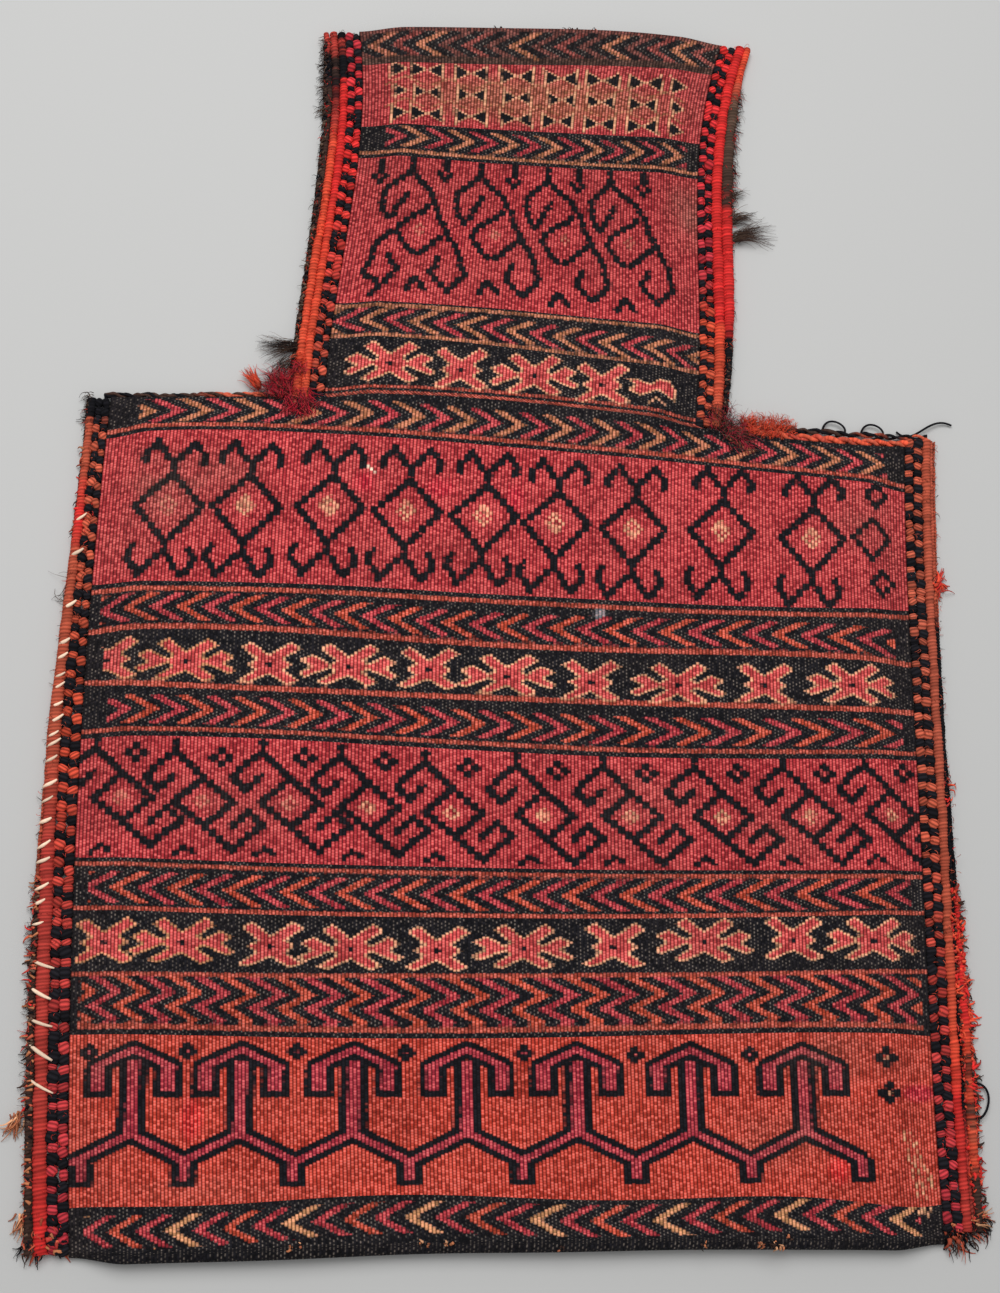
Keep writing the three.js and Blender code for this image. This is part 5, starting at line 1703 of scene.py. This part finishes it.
@dataclass
class Bindings:
    """Checks, cords and loose wool along the bound sides.

    A ring is a step along a cord, wrap the pitch of its thread and ridge that thread's height.  Threads of a
    check get painted light on their tops and painted shade in the grooves between them, in turn round the
    check.
    Hairs thinner than fine have few sides, and those of a tuft whose top is above low_top sink less.  Laced
    are the pale stitches' places up the left side.
    """

    kit: Kit
    finish: Material
    loose: Material
    ring: float = 0.44
    wrap: float = 1.8
    ridge: float = 0.15
    cord_half: float = 2.7
    cord_sides: int = 14
    check_middle: float = 2.7
    check_half: float = 2.4
    check_sides: int = 16
    thread_painted_light: float = 1.3
    groove_painted_shade: float = 0.32
    slip_chance: float = 0.03
    rest_height: float = 0.3
    loose_height: float = 0.15
    hair_steps: int = 6
    thread_steps: int = 32
    fine: float = 0.3
    low_top: float = 6.0
    sunk: float = 0.75
    half_sunk: float = 0.3
    nap_count: int = 520
    nap_thick: float = 0.13
    laced: tuple[int, ...] = (346, 328, 300, 281, 274, 265, 259, 250, 242, 235, 230, 222, 211, 202, 193, 181,
                              173, 161, 154, 144, 125, 112, 98, 85, 69)

    def __post_init__(self) -> None:
        """Start the random numbers at a seed."""
        self.rng = np.random.default_rng(SEED + 1)

    def jitter(self, colours: Array, amount: float) -> Array:
        """Vary each colour's lightness by up to an amount."""
        return colours * (1.0 + self.rng.uniform(-amount, amount, (*colours.shape[:-1], 1)))

    def waver(self, place: Array, every: int) -> Array:
        """Wander between -1 and 1 along a line, with a new aim every few places."""
        return np.interp(place, place[::every], self.rng.uniform(-1.0, 1.0, len(place[::every])))

    def pick(self, yarns: Sequence[Yarn], count: int) -> Array:
        """Draw one of some yarns for each strand, as a linear colour."""
        return np.array([yarn.linear for yarn in yarns])[self.rng.integers(0, len(yarns), count)]

    def checks(self, side: BoundSide) -> None:
        """Wrap two columns of checks, dark and light in turn.

        A check is a bean lying across its column: its half height is a rounded hump of its place across, and
        threads run along it in lines of painted light and painted shade.  Its colour gets painted shade
        towards both ends, where the hump is low.

        Args:
            side: the bound side.
        """
        share = np.linspace(-1.0, 1.0, 9)
        hump = np.sqrt(np.maximum(1.0 - np.abs(share) ** 3.6, 0.03))
        thread = np.where(np.arange(self.check_sides) % 2 == 0, self.thread_painted_light, self.groove_painted_shade)
        count = int((side.high - side.low) / side.check)
        paths, wide, tall, shades = [], [], [], []
        for column in (0, 1):
            slips = self.rng.random(count) < self.slip_chance
            dark = (np.arange(count) + column + slips) % 2 == 0
            steps = self.rng.uniform(0.78, 1.22, count)
            steps *= (side.high - side.low) / steps.sum()
            middle = side.low + np.cumsum(steps) - steps / 2
            size = np.where(dark, side.dark_size, side.light_size)[:, None]
            size = size * self.rng.uniform(0.84, 1.12, (count, 1))
            width = side.check_width(middle)
            slant = (0.9 - 1.8 * column + self.rng.uniform(-0.7, 0.7, (count, 1))) * share
            sway = self.rng.uniform(-0.35, 0.35, (count, 1))
            x = side.out(width * (column + 0.5), middle)[:, None] + sway
            x = x + share * width[:, None] * 0.56 * size
            z = np.full_like(x, self.check_middle) + 0.3 * size
            paths.append(np.stack((x, middle[:, None] + slant, z), axis=-1))
            wide.append(steps[:, None] * 0.6 * size * hump)
            tall.append(self.check_half * size * hump)
            base = np.where(dark[:, None], Yarn.BLACK.linear * 1.3, dyed(side.light, middle))
            # Painted light and shade: round each ring the sides alternate lighter and darker as threads and
            # the grooves between them, and the colour darkens towards the check's low ends.
            base = self.jitter(base, 0.35)[:, None, None, :] * thread[None, None, :, None]
            shades.append(base * (0.5 + 0.5 * hump)[None, :, None, None])
        strands = Strands(*(np.concatenate(part) for part in (paths, wide, tall)), self.check_sides)
        strands.rest(self.rest_height)
        thing = strands.make(self.kit, f"{side.name}_checks_wool", self.finish, np.concatenate(shades))
        self.kit.place(thing, "check_wool", f"{side.name}_checks")

    def cords(self, side: BoundSide) -> None:
        """Wrap the outer cords in thread: ridges run round each as a wave of angle and place, and their
        colour gets painted shade in the grooves between them.

        Args:
            side: the bound side.
        """
        y = np.arange(side.low, side.high, self.ring)
        turn = np.linspace(0.0, 2 * np.pi, self.cord_sides, endpoint=False)
        start = 2 * side.check_width(y)
        paths, wide, tall, shades = [], [], [], []
        for width, (_, stops) in zip(side.cord_widths(y), side.cords):
            plump = 1.0 + 0.10 * self.waver(y, 14)
            turns = y / self.wrap + 0.35 * self.waver(y, 9)
            wave = 2 * np.pi * turns[:, None] + turn
            ridge = np.sin(wave)
            high = np.minimum(self.cord_half, 0.5 + 0.5 * width) * plump
            place = side.out(start + width / 2, y) + 0.25 * self.waver(y, 11)
            paths.append(np.stack((place, y, 0.4 + high), axis=-1))
            wide.append((width * 0.54 * plump)[:, None] + self.ridge * ridge)
            tall.append(high[:, None] + self.ridge * ridge)
            number = np.floor(wave / (2 * np.pi)).astype(int)
            number -= number.min()
            # A random tone for each wrap of thread, times painted shade in the grooves between wraps and
            # painted light on their ridges.
            shade = self.rng.uniform(0.68, 1.22, number.max() + 1)[number] * (0.73 + 0.27 * ridge)
            shades.append(dyed(stops, y + 6.0 * self.waver(y, 5))[:, None] * shade[..., None])
            start = start + width
        strands = Strands(*(np.array(part) for part in (paths, wide, tall)), self.cord_sides)
        strands.rest(self.rest_height)
        thing = strands.make(self.kit, f"{side.name}_cord_wool", self.finish, np.array(shades))
        self.kit.place(thing, "orange_wool", f"{side.name}_cord")

    def overcast(self, side: BoundSide, yarns: Sequence[Yarn], low: float, high: float, count: int,
                 most: float = 4.0) -> None:
        """Lay short ragged stitches over a bound side's outer edge.

        Each stitch is a low arch from the cord down to the floor outside it.

        Args:
            side: the bound side.
            yarns: yarns to choose from.
            low: where the stitches start.
            high: where they end.
            count: how many.
            most: how far in the longest stitch starts.
        """
        steps = np.linspace(0.0, 1.0, 6)
        y = np.sort(self.rng.uniform(low, high, count))[:, None]
        sign = np.sign(side.outer(y) - side.inner(y))
        reach = self.rng.uniform(most / 2, most, (count, 1))
        x = side.outer(y) + sign * (0.4 - reach * (1.0 - steps))
        top = 4.4 + self.rng.uniform(-0.8, 0.8, (count, 1))
        z = 0.6 + top * np.sqrt(np.clip(1.0 - steps ** 2, 0.0, 1.0))
        slant = self.rng.uniform(-2.5, 2.5, (count, 1)) * steps
        paths = np.stack((x, y + slant, np.broadcast_to(z, x.shape)), axis=-1)
        thick = self.rng.uniform(0.45, 0.9, (count, 1)) * (1.0 - 0.5 * steps)
        self.wool(f"{side.name}_overcast", paths, thick, self.jitter(self.pick(yarns, count), 0.3), 6)

    def wool(self, name: str, paths: Array, thick: Array, colours: Array, sides: int,
             slot: str = "orange_wool") -> None:
        """Make loose strands as one piece.

        Args:
            name: the object's name.
            paths: strand, step and place.
            thick: half widths by strand and step.
            colours: one linear colour for each strand.
            sides: points in a ring.
            slot: not used.
        """
        strands = Strands(paths, thick, thick, sides)
        strands.rest(self.loose_height)
        spread = np.broadcast_to(colours[:, None, :], (*paths.shape[:2], 3))
        self.kit.place(strands.make(self.kit, name, self.loose, spread), slot)

    def hairs(self, roots: Array, heading: Array, length: Array, curl: float, sink: float) -> Array:
        """Grow curling hairs: each starts along its heading, then bends one way and sinks to the floor.

        Args:
            roots: where hairs start, one row each.
            heading: angle of each hair in the bag's plane.
            length: length of each hair.
            curl: most bend in radians.
            sink: share of its root's height that a hair loses.

        Returns:
            Paths by hair and step.
        """
        count = len(roots)
        share = np.linspace(0.0, 1.0, self.hair_steps)
        bend = self.rng.uniform(-curl, curl, (count, 1)) * share
        sway = self.rng.uniform(0.0, 0.25, (count, 1))
        angle = heading[:, None] + bend + sway * np.sin(share * self.rng.uniform(3, 8, (count, 1)))
        step = length[:, None] / (self.hair_steps - 1)
        x = roots[:, :1] + np.cumsum(np.cos(angle) * step, axis=1) - np.cos(angle[:, :1]) * step
        y = roots[:, 1:2] + np.cumsum(np.sin(angle) * step, axis=1) - np.sin(angle[:, :1]) * step
        arch = self.rng.uniform(-0.5, 2.5, (count, 1)) * np.sin(share * np.pi)
        z = roots[:, 2:3] * (1.0 - sink * share) + arch
        return np.stack((x, y, np.maximum(z, self.rest_height)), axis=-1)

    def grow(self, name: str, paths: Sequence[Array], yarns: Sequence[Yarn], thick: float) -> None:
        """Give hairs a taper and a yarn each, as one piece.

        Args:
            name: the object's name.
            paths: groups of hairs by hair, step and place.
            yarns: yarns to choose from.
            thick: half width of a hair at its root.
        """
        hairs = np.concatenate(paths)
        taper = thick * self.rng.uniform(0.6, 1.3, (len(hairs), 1))
        taper = taper * (1.0 - 0.7 * np.linspace(0, 1, self.hair_steps))
        colours = self.jitter(self.pick(yarns, len(hairs)), 0.35)
        self.wool(name, hairs, taper, colours, 3 if thick < self.fine else 5)

    def tuft(self, name: str, yarns: Sequence[Yarn], thick: float, roots: Sequence[Root],
             spread: float = 0.6, curl: float = 0.8, top: float = 6.0) -> None:
        """Make tufts of loose wool.

        Args:
            name: the object's name.
            yarns: yarns to choose from.
            thick: half width of a hair at its root.
            roots: for each tuft x, y, root spread, heading in degrees, shortest, longest and number of hairs.
            spread: most turn away from the heading in radians.
            curl: most bend along a hair in radians.
            top: height of the highest root.
        """
        sink = self.sunk if top <= self.low_top else self.half_sunk
        paths = []
        for x, y, wide, degrees, shortest, longest, count in roots:
            aside = np.clip(self.rng.normal(0, wide, (2, count)), -1.5 * wide, 1.5 * wide)
            level = self.rng.uniform(0.1, 1.0, count) * top
            places = np.stack((x + aside[0], y + aside[1], level), axis=-1)
            heading = np.radians(degrees) + self.rng.uniform(-spread, spread, count)
            paths.append(self.hairs(places, heading, self.rng.uniform(shortest, longest, count), curl, sink))
        self.grow(name, paths, yarns, thick)

    def fuzz(self, side: BoundSide, name: str, yarns: Sequence[Yarn], thick: float,
             stretches: Sequence[Stretch], deep: float = 3.0) -> None:
        """Grow hairs along stretches of a bound side's outer edge.

        Args:
            side: the bound side.
            name: the object's name.
            yarns: yarns to choose from.
            thick: half width of a hair at its root.
            stretches: for each its lower and upper end, shortest and longest hair and number of hairs.
            deep: how far in from the edge the innermost roots lie.
        """
        paths = []
        for low, high, shortest, longest, count in stretches:
            y = self.rng.uniform(low, high, count)
            outward = 0.0 if side.outer(y).mean() > side.inner(y).mean() else np.pi
            heading = outward + self.rng.uniform(-1.1, 1.1, count)
            depth = self.rng.uniform(0.0, deep, count) * np.sign(side.outer(y) - side.inner(y))
            roots = np.stack((side.outer(y) - depth, y, self.rng.uniform(0.8, 5.0, count)), axis=-1)
            length = self.rng.uniform(shortest, longest, count)
            paths.append(self.hairs(roots, heading, length, 1.6, self.sunk))
        self.grow(name, paths, yarns, thick)

    def nap(self, side: BoundSide) -> None:
        """Scatter short soft hairs over a bound side, in the colours of its first cord.

        Args:
            side: the bound side.
        """
        count = self.nap_count
        y = self.rng.uniform(side.low, side.high, count)
        place = side.along(self.rng.uniform(0.1, 1.0, count), y)
        roots = np.stack((place, y, self.rng.uniform(3.6, 5.6, count)), axis=-1)
        heading = self.rng.uniform(-np.pi, np.pi, count)
        paths = self.hairs(roots, heading, self.rng.uniform(1.2, 3.4, count), 1.8, 0.1)
        thick = self.nap_thick * self.rng.uniform(0.7, 1.3, (count, 1)) * np.ones(self.hair_steps)
        colours = self.jitter(dyed(side.cords[0][1], y), 0.5)
        self.wool(f"{side.name}_nap", paths, thick, colours, 3)

    def lacing(self) -> None:
        """Lace pale thread over the left side: short stitches that rise inward, longer ones lower down."""
        count = len(self.laced)
        y = np.array(self.laced, dtype=float) + self.rng.uniform(-0.8, 0.8, count)
        share = np.linspace(-0.5, 0.5, 9)
        low_part = ease((150.0 - y) / 30.0)
        lean = 0.5 - 1.0 * low_part + self.rng.uniform(-0.2, 0.2, count)
        reach = (6.4 + 6.0 * low_part) * self.rng.uniform(0.8, 1.15, count)
        middle = LEFT_BODY_EDGE(y) + reach * 0.46
        x = middle[:, None] + share * reach[:, None]
        rise = y[:, None] + share * (reach * lean)[:, None] - 0.6 * np.cos(share * np.pi)
        z = np.broadcast_to(5.9 - 4.2 * np.clip(-share * 2.0, 0.0, 1.0) ** 2, x.shape)
        thick = (0.4 + 0.42 * np.cos(share * np.pi)) * self.rng.uniform(0.8, 1.2, (count, 1))
        colours = self.jitter(np.broadcast_to(Yarn.WHITE.linear, (count, 3)), 0.16)
        self.wool("white_lacing", np.stack((x, rise, z), axis=-1), thick, colours, 8, "check_wool")

    def shoulder(self, name: str, low: float, high: float, out: float, thick: float,
                 strands: Sequence[Stops], *nodes: str) -> None:
        """Twist strands into a cord along a shoulder: helices beside the shoulder line, worn thin in places.

        Args:
            name: the object's name.
            low: where it starts across the bag.
            high: where it ends.
            out: distance of its middle from the shoulder line.
            thick: half width of a strand.
            strands: the yarns of each strand, by place across.
            nodes: the node it replaces, if any.
        """
        x = np.arange(low, high, 0.6)
        line = BODY_LINES[-1](x) + out + 0.5 * self.waver(x, 9)
        paths, sizes, colours = [], [], []
        for number, stops in enumerate(strands):
            angle = x / 2.2 + number * 2 * np.pi / len(strands) + 0.9 * self.waver(x, 6)
            paths.append(np.stack((x, line + thick * np.cos(angle), 3.0 + thick * np.sin(angle)), axis=-1))
            sizes.append(thick * (1.0 + 0.3 * self.waver(x, 7)))
            colours.append(dyed(stops, x))
        made = Strands(np.array(paths), np.array(sizes), np.array(sizes), 8)
        made.rest(0.2)
        thing = made.make(self.kit, name, self.finish, self.jitter(np.array(colours), 0.35))
        self.kit.place(thing, "orange_wool", *nodes)

    def threads(self, name: str, runs: Sequence[Points], thick: float, yarn: Yarn) -> None:
        """Lay loose threads along smooth lines through a few places.

        Args:
            name: the object's name.
            runs: places of each thread.
            thick: half width.
            yarn: its yarn.
        """
        fine = np.linspace(0.0, 1.0, self.thread_steps)
        paths = []
        for run in runs:
            share = np.linspace(0.0, 1.0, len(run))
            flat = [smooth_line(tuple(zip(share, values)), 4)(fine) for values in zip(*run)]
            paths.append(np.stack((*flat, 1.4 + 1.6 * np.sin(fine * np.pi)), axis=-1))
        size = np.full((len(paths), self.thread_steps), thick)
        colours = np.broadcast_to(yarn.linear, (len(paths), 3))
        self.wool(name, np.array(paths), size, colours, 6)

    def fray(self) -> None:
        """Overcast and fray the outer edges, then scatter a nap over every side."""
        left_body, right_body, left_neck, right_neck = SIDES
        self.overcast(left_body, (*DARKS, Yarn.CORD_ORANGE, Yarn.TAN), 0.0, 165.0, 110)
        self.overcast(left_neck, DARKS, 420.0, 630.0, 190, 2.8)
        self.overcast(right_neck, DARKS, 412.0, 462.0, 40)
        self.fuzz(left_body, "left_body_fuzz", (*DARKS, Yarn.CORD_RED), 0.22,
                  ((0, 400, 1.5, 4.5, 160), (50, 165, 2.5, 6.0, 170), (396, 414, 2.0, 6.0, 90),
                   (300, 318, 6.0, 13.0, 14)))
        self.fuzz(left_body, "left_body_ends",
                  (Yarn.CORD_RED, Yarn.BROWN, Yarn.CORD_ORANGE, Yarn.BRIGHT_RED, Yarn.TAN), 0.75,
                  ((55, 165, 2.0, 5.5, 90), (0, 50, 2.0, 4.5, 36), (335, 385, 1.5, 4.0, 34)))
        self.fuzz(right_body, "right_body_fuzz",
                  (*DARKS, Yarn.CORD_RED, Yarn.CORD_ORANGE, Yarn.BRIGHT_RED), 0.2,
                  ((5, 400, 1.5, 4.0, 200), (5, 160, 2.0, 6.0, 160)))
        self.fuzz(right_body, "fringe_tufts",
                  (Yarn.NECK_ORANGE, Yarn.BRIGHT_ORANGE, Yarn.BRIGHT_RED, Yarn.CORD_RED, Yarn.BROWN), 0.72,
                  ((5, 60, 3.0, 7.0, 170), (60, 120, 3.0, 8.0, 300), (120, 165, 2.5, 5.0, 190),
                   (320, 329, 5.0, 10.0, 50), (205, 222, 3.0, 6.0, 16)), 6.0)
        self.fuzz(left_neck, "left_neck_fuzz", DARKS, 0.22,
                  ((420, 630, 1.5, 4.5, 260), (582, 632, 3.0, 7.0, 260)), 4.5)
        self.fuzz(right_neck, "right_neck_fuzz", (*DARKS, Yarn.CORD_RED), 0.2,
                  ((412, 630, 1.5, 4.0, 150), (535, 612, 3.0, 7.0, 300)))
        for side in SIDES:
            self.nap(side)

    def edge_shoulders(self) -> None:
        """Lay the cords of both shoulders and the second, dark-ended one on the right."""
        self.shoulder("left_shoulder_cord_wool", -214.0, -122.0, 1.6, 0.8,
                      (((-170, Yarn.BLACK), (-150, Yarn.CORD_ORANGE)),
                       ((-170, Yarn.BROWN), (-150, Yarn.CORD_ORANGE)),
                       ((-200, Yarn.BLACK), (-190, Yarn.BROWN))), "left_shoulder_cord")
        self.shoulder("right_shoulder_cord_wool", 112.0, 210.0, 2.4, 1.15,
                      (((120, Yarn.CORD_ORANGE), (200, Yarn.BRIGHT_ORANGE)),
                       ((120, Yarn.CORD_RED), (200, Yarn.CORD_ORANGE))), "right_shoulder_cord")
        self.shoulder("right_shoulder_edge", 138.0, 222.0, 6.4, 0.9,
                      (((180, Yarn.BROWN), (190, Yarn.CORD_ORANGE), (200, Yarn.BLACK)),
                       ((140, Yarn.CORD_ORANGE), (150, Yarn.BLACK), (205, Yarn.BLACK),
                        (212, Yarn.CORD_ORANGE))))

    def tuft_neck(self) -> None:
        """Grow the tufts where the neck meets the shoulders and the hair on its right side."""
        self.tuft("left_shoulder_tuft",
                  (Yarn.TREE_RED, Yarn.PATCH_RED, Yarn.STAR_RED, Yarn.PATCH_RED, Yarn.BROWN, Yarn.BLACK),
                  0.16, ((-125, 420, 4, 105, 5, 12, 440), (-116, 414, 4, 280, 5, 12, 460),
                         (-111, 408, 3, 250, 4, 9, 220), (-115, 429, 2.5, 100, 4, 9, 120)), 0.9, 1.5, 9.0)
        self.tuft("left_shoulder_ends", (Yarn.CORD_ORANGE, Yarn.NECK_ORANGE, Yarn.BRIGHT_ORANGE), 0.29,
                  ((-136, 421, 1.0, 125, 7, 13, 70), (-114, 437, 2, 200, 2, 5, 60)), 0.25, 0.5, 8.0)
        self.tuft("left_neck_hair", (Yarn.BROWN, Yarn.HAIR_BROWN, Yarn.BLACK), 0.13,
                  ((-118, 445, 1.5, 184, 9, 20, 130), (-121, 436, 2, 225, 5, 11, 80)), 0.3, 0.5, 8.0)
        self.tuft("right_shoulder_tuft",
                  (Yarn.BROWN, Yarn.BLACK, Yarn.TREE_RED, Yarn.TREE_RED, Yarn.HAIR_BROWN), 0.15,
                  ((108, 411, 4, 95, 4, 10, 280), (117, 400, 4, -50, 5, 12, 360),
                   (113, 406, 4, 10, 4, 10, 320)), 0.9, 1.4, 9.0)
        self.tuft("right_shoulder_ends", (Yarn.BRIGHT_ORANGE, Yarn.NECK_ORANGE, Yarn.CORD_ORANGE), 0.19,
                  ((124, 408, 3, 65, 3, 8, 280), (135, 408, 4, 65, 3, 7, 320),
                   (144, 409, 3, 65, 2, 5, 120)), 0.9, 1.3, 7.0)
        self.tuft("neck_hair", (Yarn.HAIR_BROWN, Yarn.BROWN, Yarn.BROWN), 0.17,
                  ((118, 546, 1.5, 25, 6, 12, 36), (118.5, 532, 1.8, 18, 8, 17, 60),
                   (119.5, 521, 1.8, 14, 12, 25, 90)), 0.26, 0.45)

    def tuft_corners(self) -> None:
        """Grow yarn ends at the corners and the mouth, and bits of wool along the fold."""
        self.tuft("corner_ends", (Yarn.BROWN, Yarn.BLACK, Yarn.BLACK, Yarn.CORD_ORANGE), 0.4,
                  ((208, -1, 4, -60, 3, 8, 90), (218, 4, 3, -40, 3, 8, 60), (-224, 0, 3, -110, 3, 8, 60),
                   (-10, 640, 2, 90, 2, 5, 20), (32, 642, 2, 90, 2, 6, 26), (45, 642, 2, 95, 2, 5, 20)))
        self.tuft("corner_pale_ends", (Yarn.TAN, Yarn.CREAM, Yarn.DUSTY), 0.45,
                  ((217, 7, 2, -5, 5, 10, 26), (-234, 55, 2, 250, 5, 10, 30), (-229, 10, 2, 260, 4, 9, 24)))
        self.tuft("corner_knots", (Yarn.TAN, Yarn.CORD_RED, Yarn.BLACK, Yarn.BLACK, Yarn.CORD_ORANGE), 1.1,
                  ((-221, 5, 4, -70, 3, 6, 44), (-213, 0, 3, -30, 3, 6, 30), (204, 2, 3, -60, 3, 6, 24)),
                  0.8, 0.8)
        bits = ((-168, -2), (-107, -2.5), (-104, -2), (-49, -2), (-46, -1.5), (-38, -1.5), (-35, -1),
                (15, -4), (82, -3), (110, -3.4), (116, -3.6), (119, -3.8), (122, 0))
        self.tuft("fold_bits", (Yarn.TAN, Yarn.DUSTY, Yarn.BROWN, Yarn.CREAM), 0.6,
                  tuple((x, y, 0.9, 0, 1.2, 2.6, 16) for x, y in bits), 3.1, 1.6, 13.0)

    def make(self) -> None:
        """Make every binding, cord and tuft."""
        for side in SIDES:
            self.checks(side)
            self.cords(side)
        self.fray()
        self.lacing()
        self.edge_shoulders()
        self.tuft_neck()
        self.tuft_corners()
        self.threads("loose_threads", (((205, 411), (214, 409), (224, 415), (236, 416)),
                                       ((164, 410), (170, 415), (176, 411), (171, 407)),
                                       ((185, 408), (191, 414), (197, 410), (191, 406)),
                                       ((219, 70), (228, 64), (224, 54), (218, 60))), 0.6, Yarn.BLACK)


@dataclass
class Studio:
    """Floor, light and camera.

    The camera stands at a place in the bag's millimetres, with its own right, up and back.  The floor and the
    lamp are in metres.
    """

    kit: Kit
    position: Vector = (-110.424, 40.284, 874.2)
    right: Vector = (0.99363232, -0.00472151, 0.1125723)
    up: Vector = (-0.02572705, 0.9632193, 0.26748213)
    back: Vector = (-0.10969473, -0.26867504, 0.95696436)
    lens: float = 50.12
    sensor: float = 36.0
    nearest: float = 0.01
    floor_size: float = 60.0
    floor_tone: tuple[int, int, int] = (190, 190, 189)
    floor_roughness: float = 0.8
    floor_specular: float = 0.2
    sky: float = 0.46
    lamp_place: Vector = (-0.2, 0.62, 1.6)
    lamp_size: float = 1.4
    lamp_power: float = 24.0

    def floor(self) -> None:
        """Lay a plain pale floor."""
        bpy.ops.mesh.primitive_plane_add(size=self.floor_size, location=(0.0, 0.0, 0.0))
        plane = bpy.context.object
        plane.name = "studio_floor"
        graph = Graph("floor_finish")
        graph.shader.inputs["Base Color"].default_value = (*linear_light(self.floor_tone), 1.0)
        graph.shader.inputs["Roughness"].default_value = self.floor_roughness
        graph.shader.inputs["Specular IOR Level"].default_value = self.floor_specular
        plane.data.materials.append(graph.material)

    def light(self) -> None:
        """Light softly from all round, with one wide lamp beyond the mouth."""
        world = bpy.data.worlds.new("studio_world")
        bpy.context.scene.world = world
        world.use_nodes = True
        sky = world.node_tree.nodes["Background"].inputs
        sky["Color"].default_value = (1.0, 1.0, 1.0, 1.0)
        sky["Strength"].default_value = self.sky
        lamp = bpy.data.lights.new("studio_lamp", "AREA")
        lamp.shape = "DISK"
        lamp.size = self.lamp_size
        lamp.energy = self.lamp_power
        thing = bpy.data.objects.new("studio_lamp", lamp)
        away = np.array(self.lamp_place)
        back = away / np.linalg.norm(away)
        right = np.cross((0.0, 0.0, 1.0), back)
        right /= np.linalg.norm(right)
        self.aim(thing, right, np.cross(back, right), back, away)
        bpy.context.scene.collection.objects.link(thing)

    def camera(self) -> None:
        """Stand where the photo was taken."""
        data = bpy.data.cameras.new("studio_camera")
        data.sensor_fit = "AUTO"
        data.sensor_width = self.sensor
        data.lens = self.lens
        data.clip_start = self.nearest
        thing = bpy.data.objects.new("studio_camera", data)
        place = (np.array(self.position) + self.kit.shift) * MM
        self.aim(thing, np.array(self.right), np.array(self.up), np.array(self.back), place)
        bpy.context.scene.collection.objects.link(thing)
        bpy.context.scene.camera = thing

    @staticmethod
    def aim(thing: Thing, right: Array, up: Array, back: Array, place: Array) -> None:
        """Turn a camera or lamp by its own right, up and back, and stand it at a place."""
        turn = np.vstack((np.stack((right, up, back, place), axis=-1), (0.0, 0.0, 0.0, 1.0)))
        thing.matrix_world = Matrix(turn.tolist())

    def make(self) -> None:
        """Set everything up."""
        self.floor()
        self.light()
        self.camera()
        bpy.context.scene.view_settings.view_transform = "Standard"


def main() -> None:
    """Load the frame, dress it and set up the studio."""
    logging.basicConfig(level=logging.INFO, format="%(name)s: %(message)s")
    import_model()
    kit = Kit()
    patterned = WoolFinish("patterned_wool_finish", ribbed=True, fibre_scale=900.0, fibre_share=0.35,
                           bump_height=0.0009, gain=1.26)
    cloth = WovenCloth(kit, patterned).make()
    wrapped = WoolFinish("wrapped_wool_finish", ribbed=False, fibre_scale=1400.0, fibre_share=0.5,
                         bump_height=0.0004, gain=1.25)
    loose = WoolFinish("loose_wool_finish", ribbed=False, fibre_scale=900.0, fibre_share=0.5,
                       bump_height=0.0003, gain=1.1)
    Bindings(kit, wrapped.make(), loose.make()).make()
    Studio(kit).make()


if __name__ == "__main__":
    main()
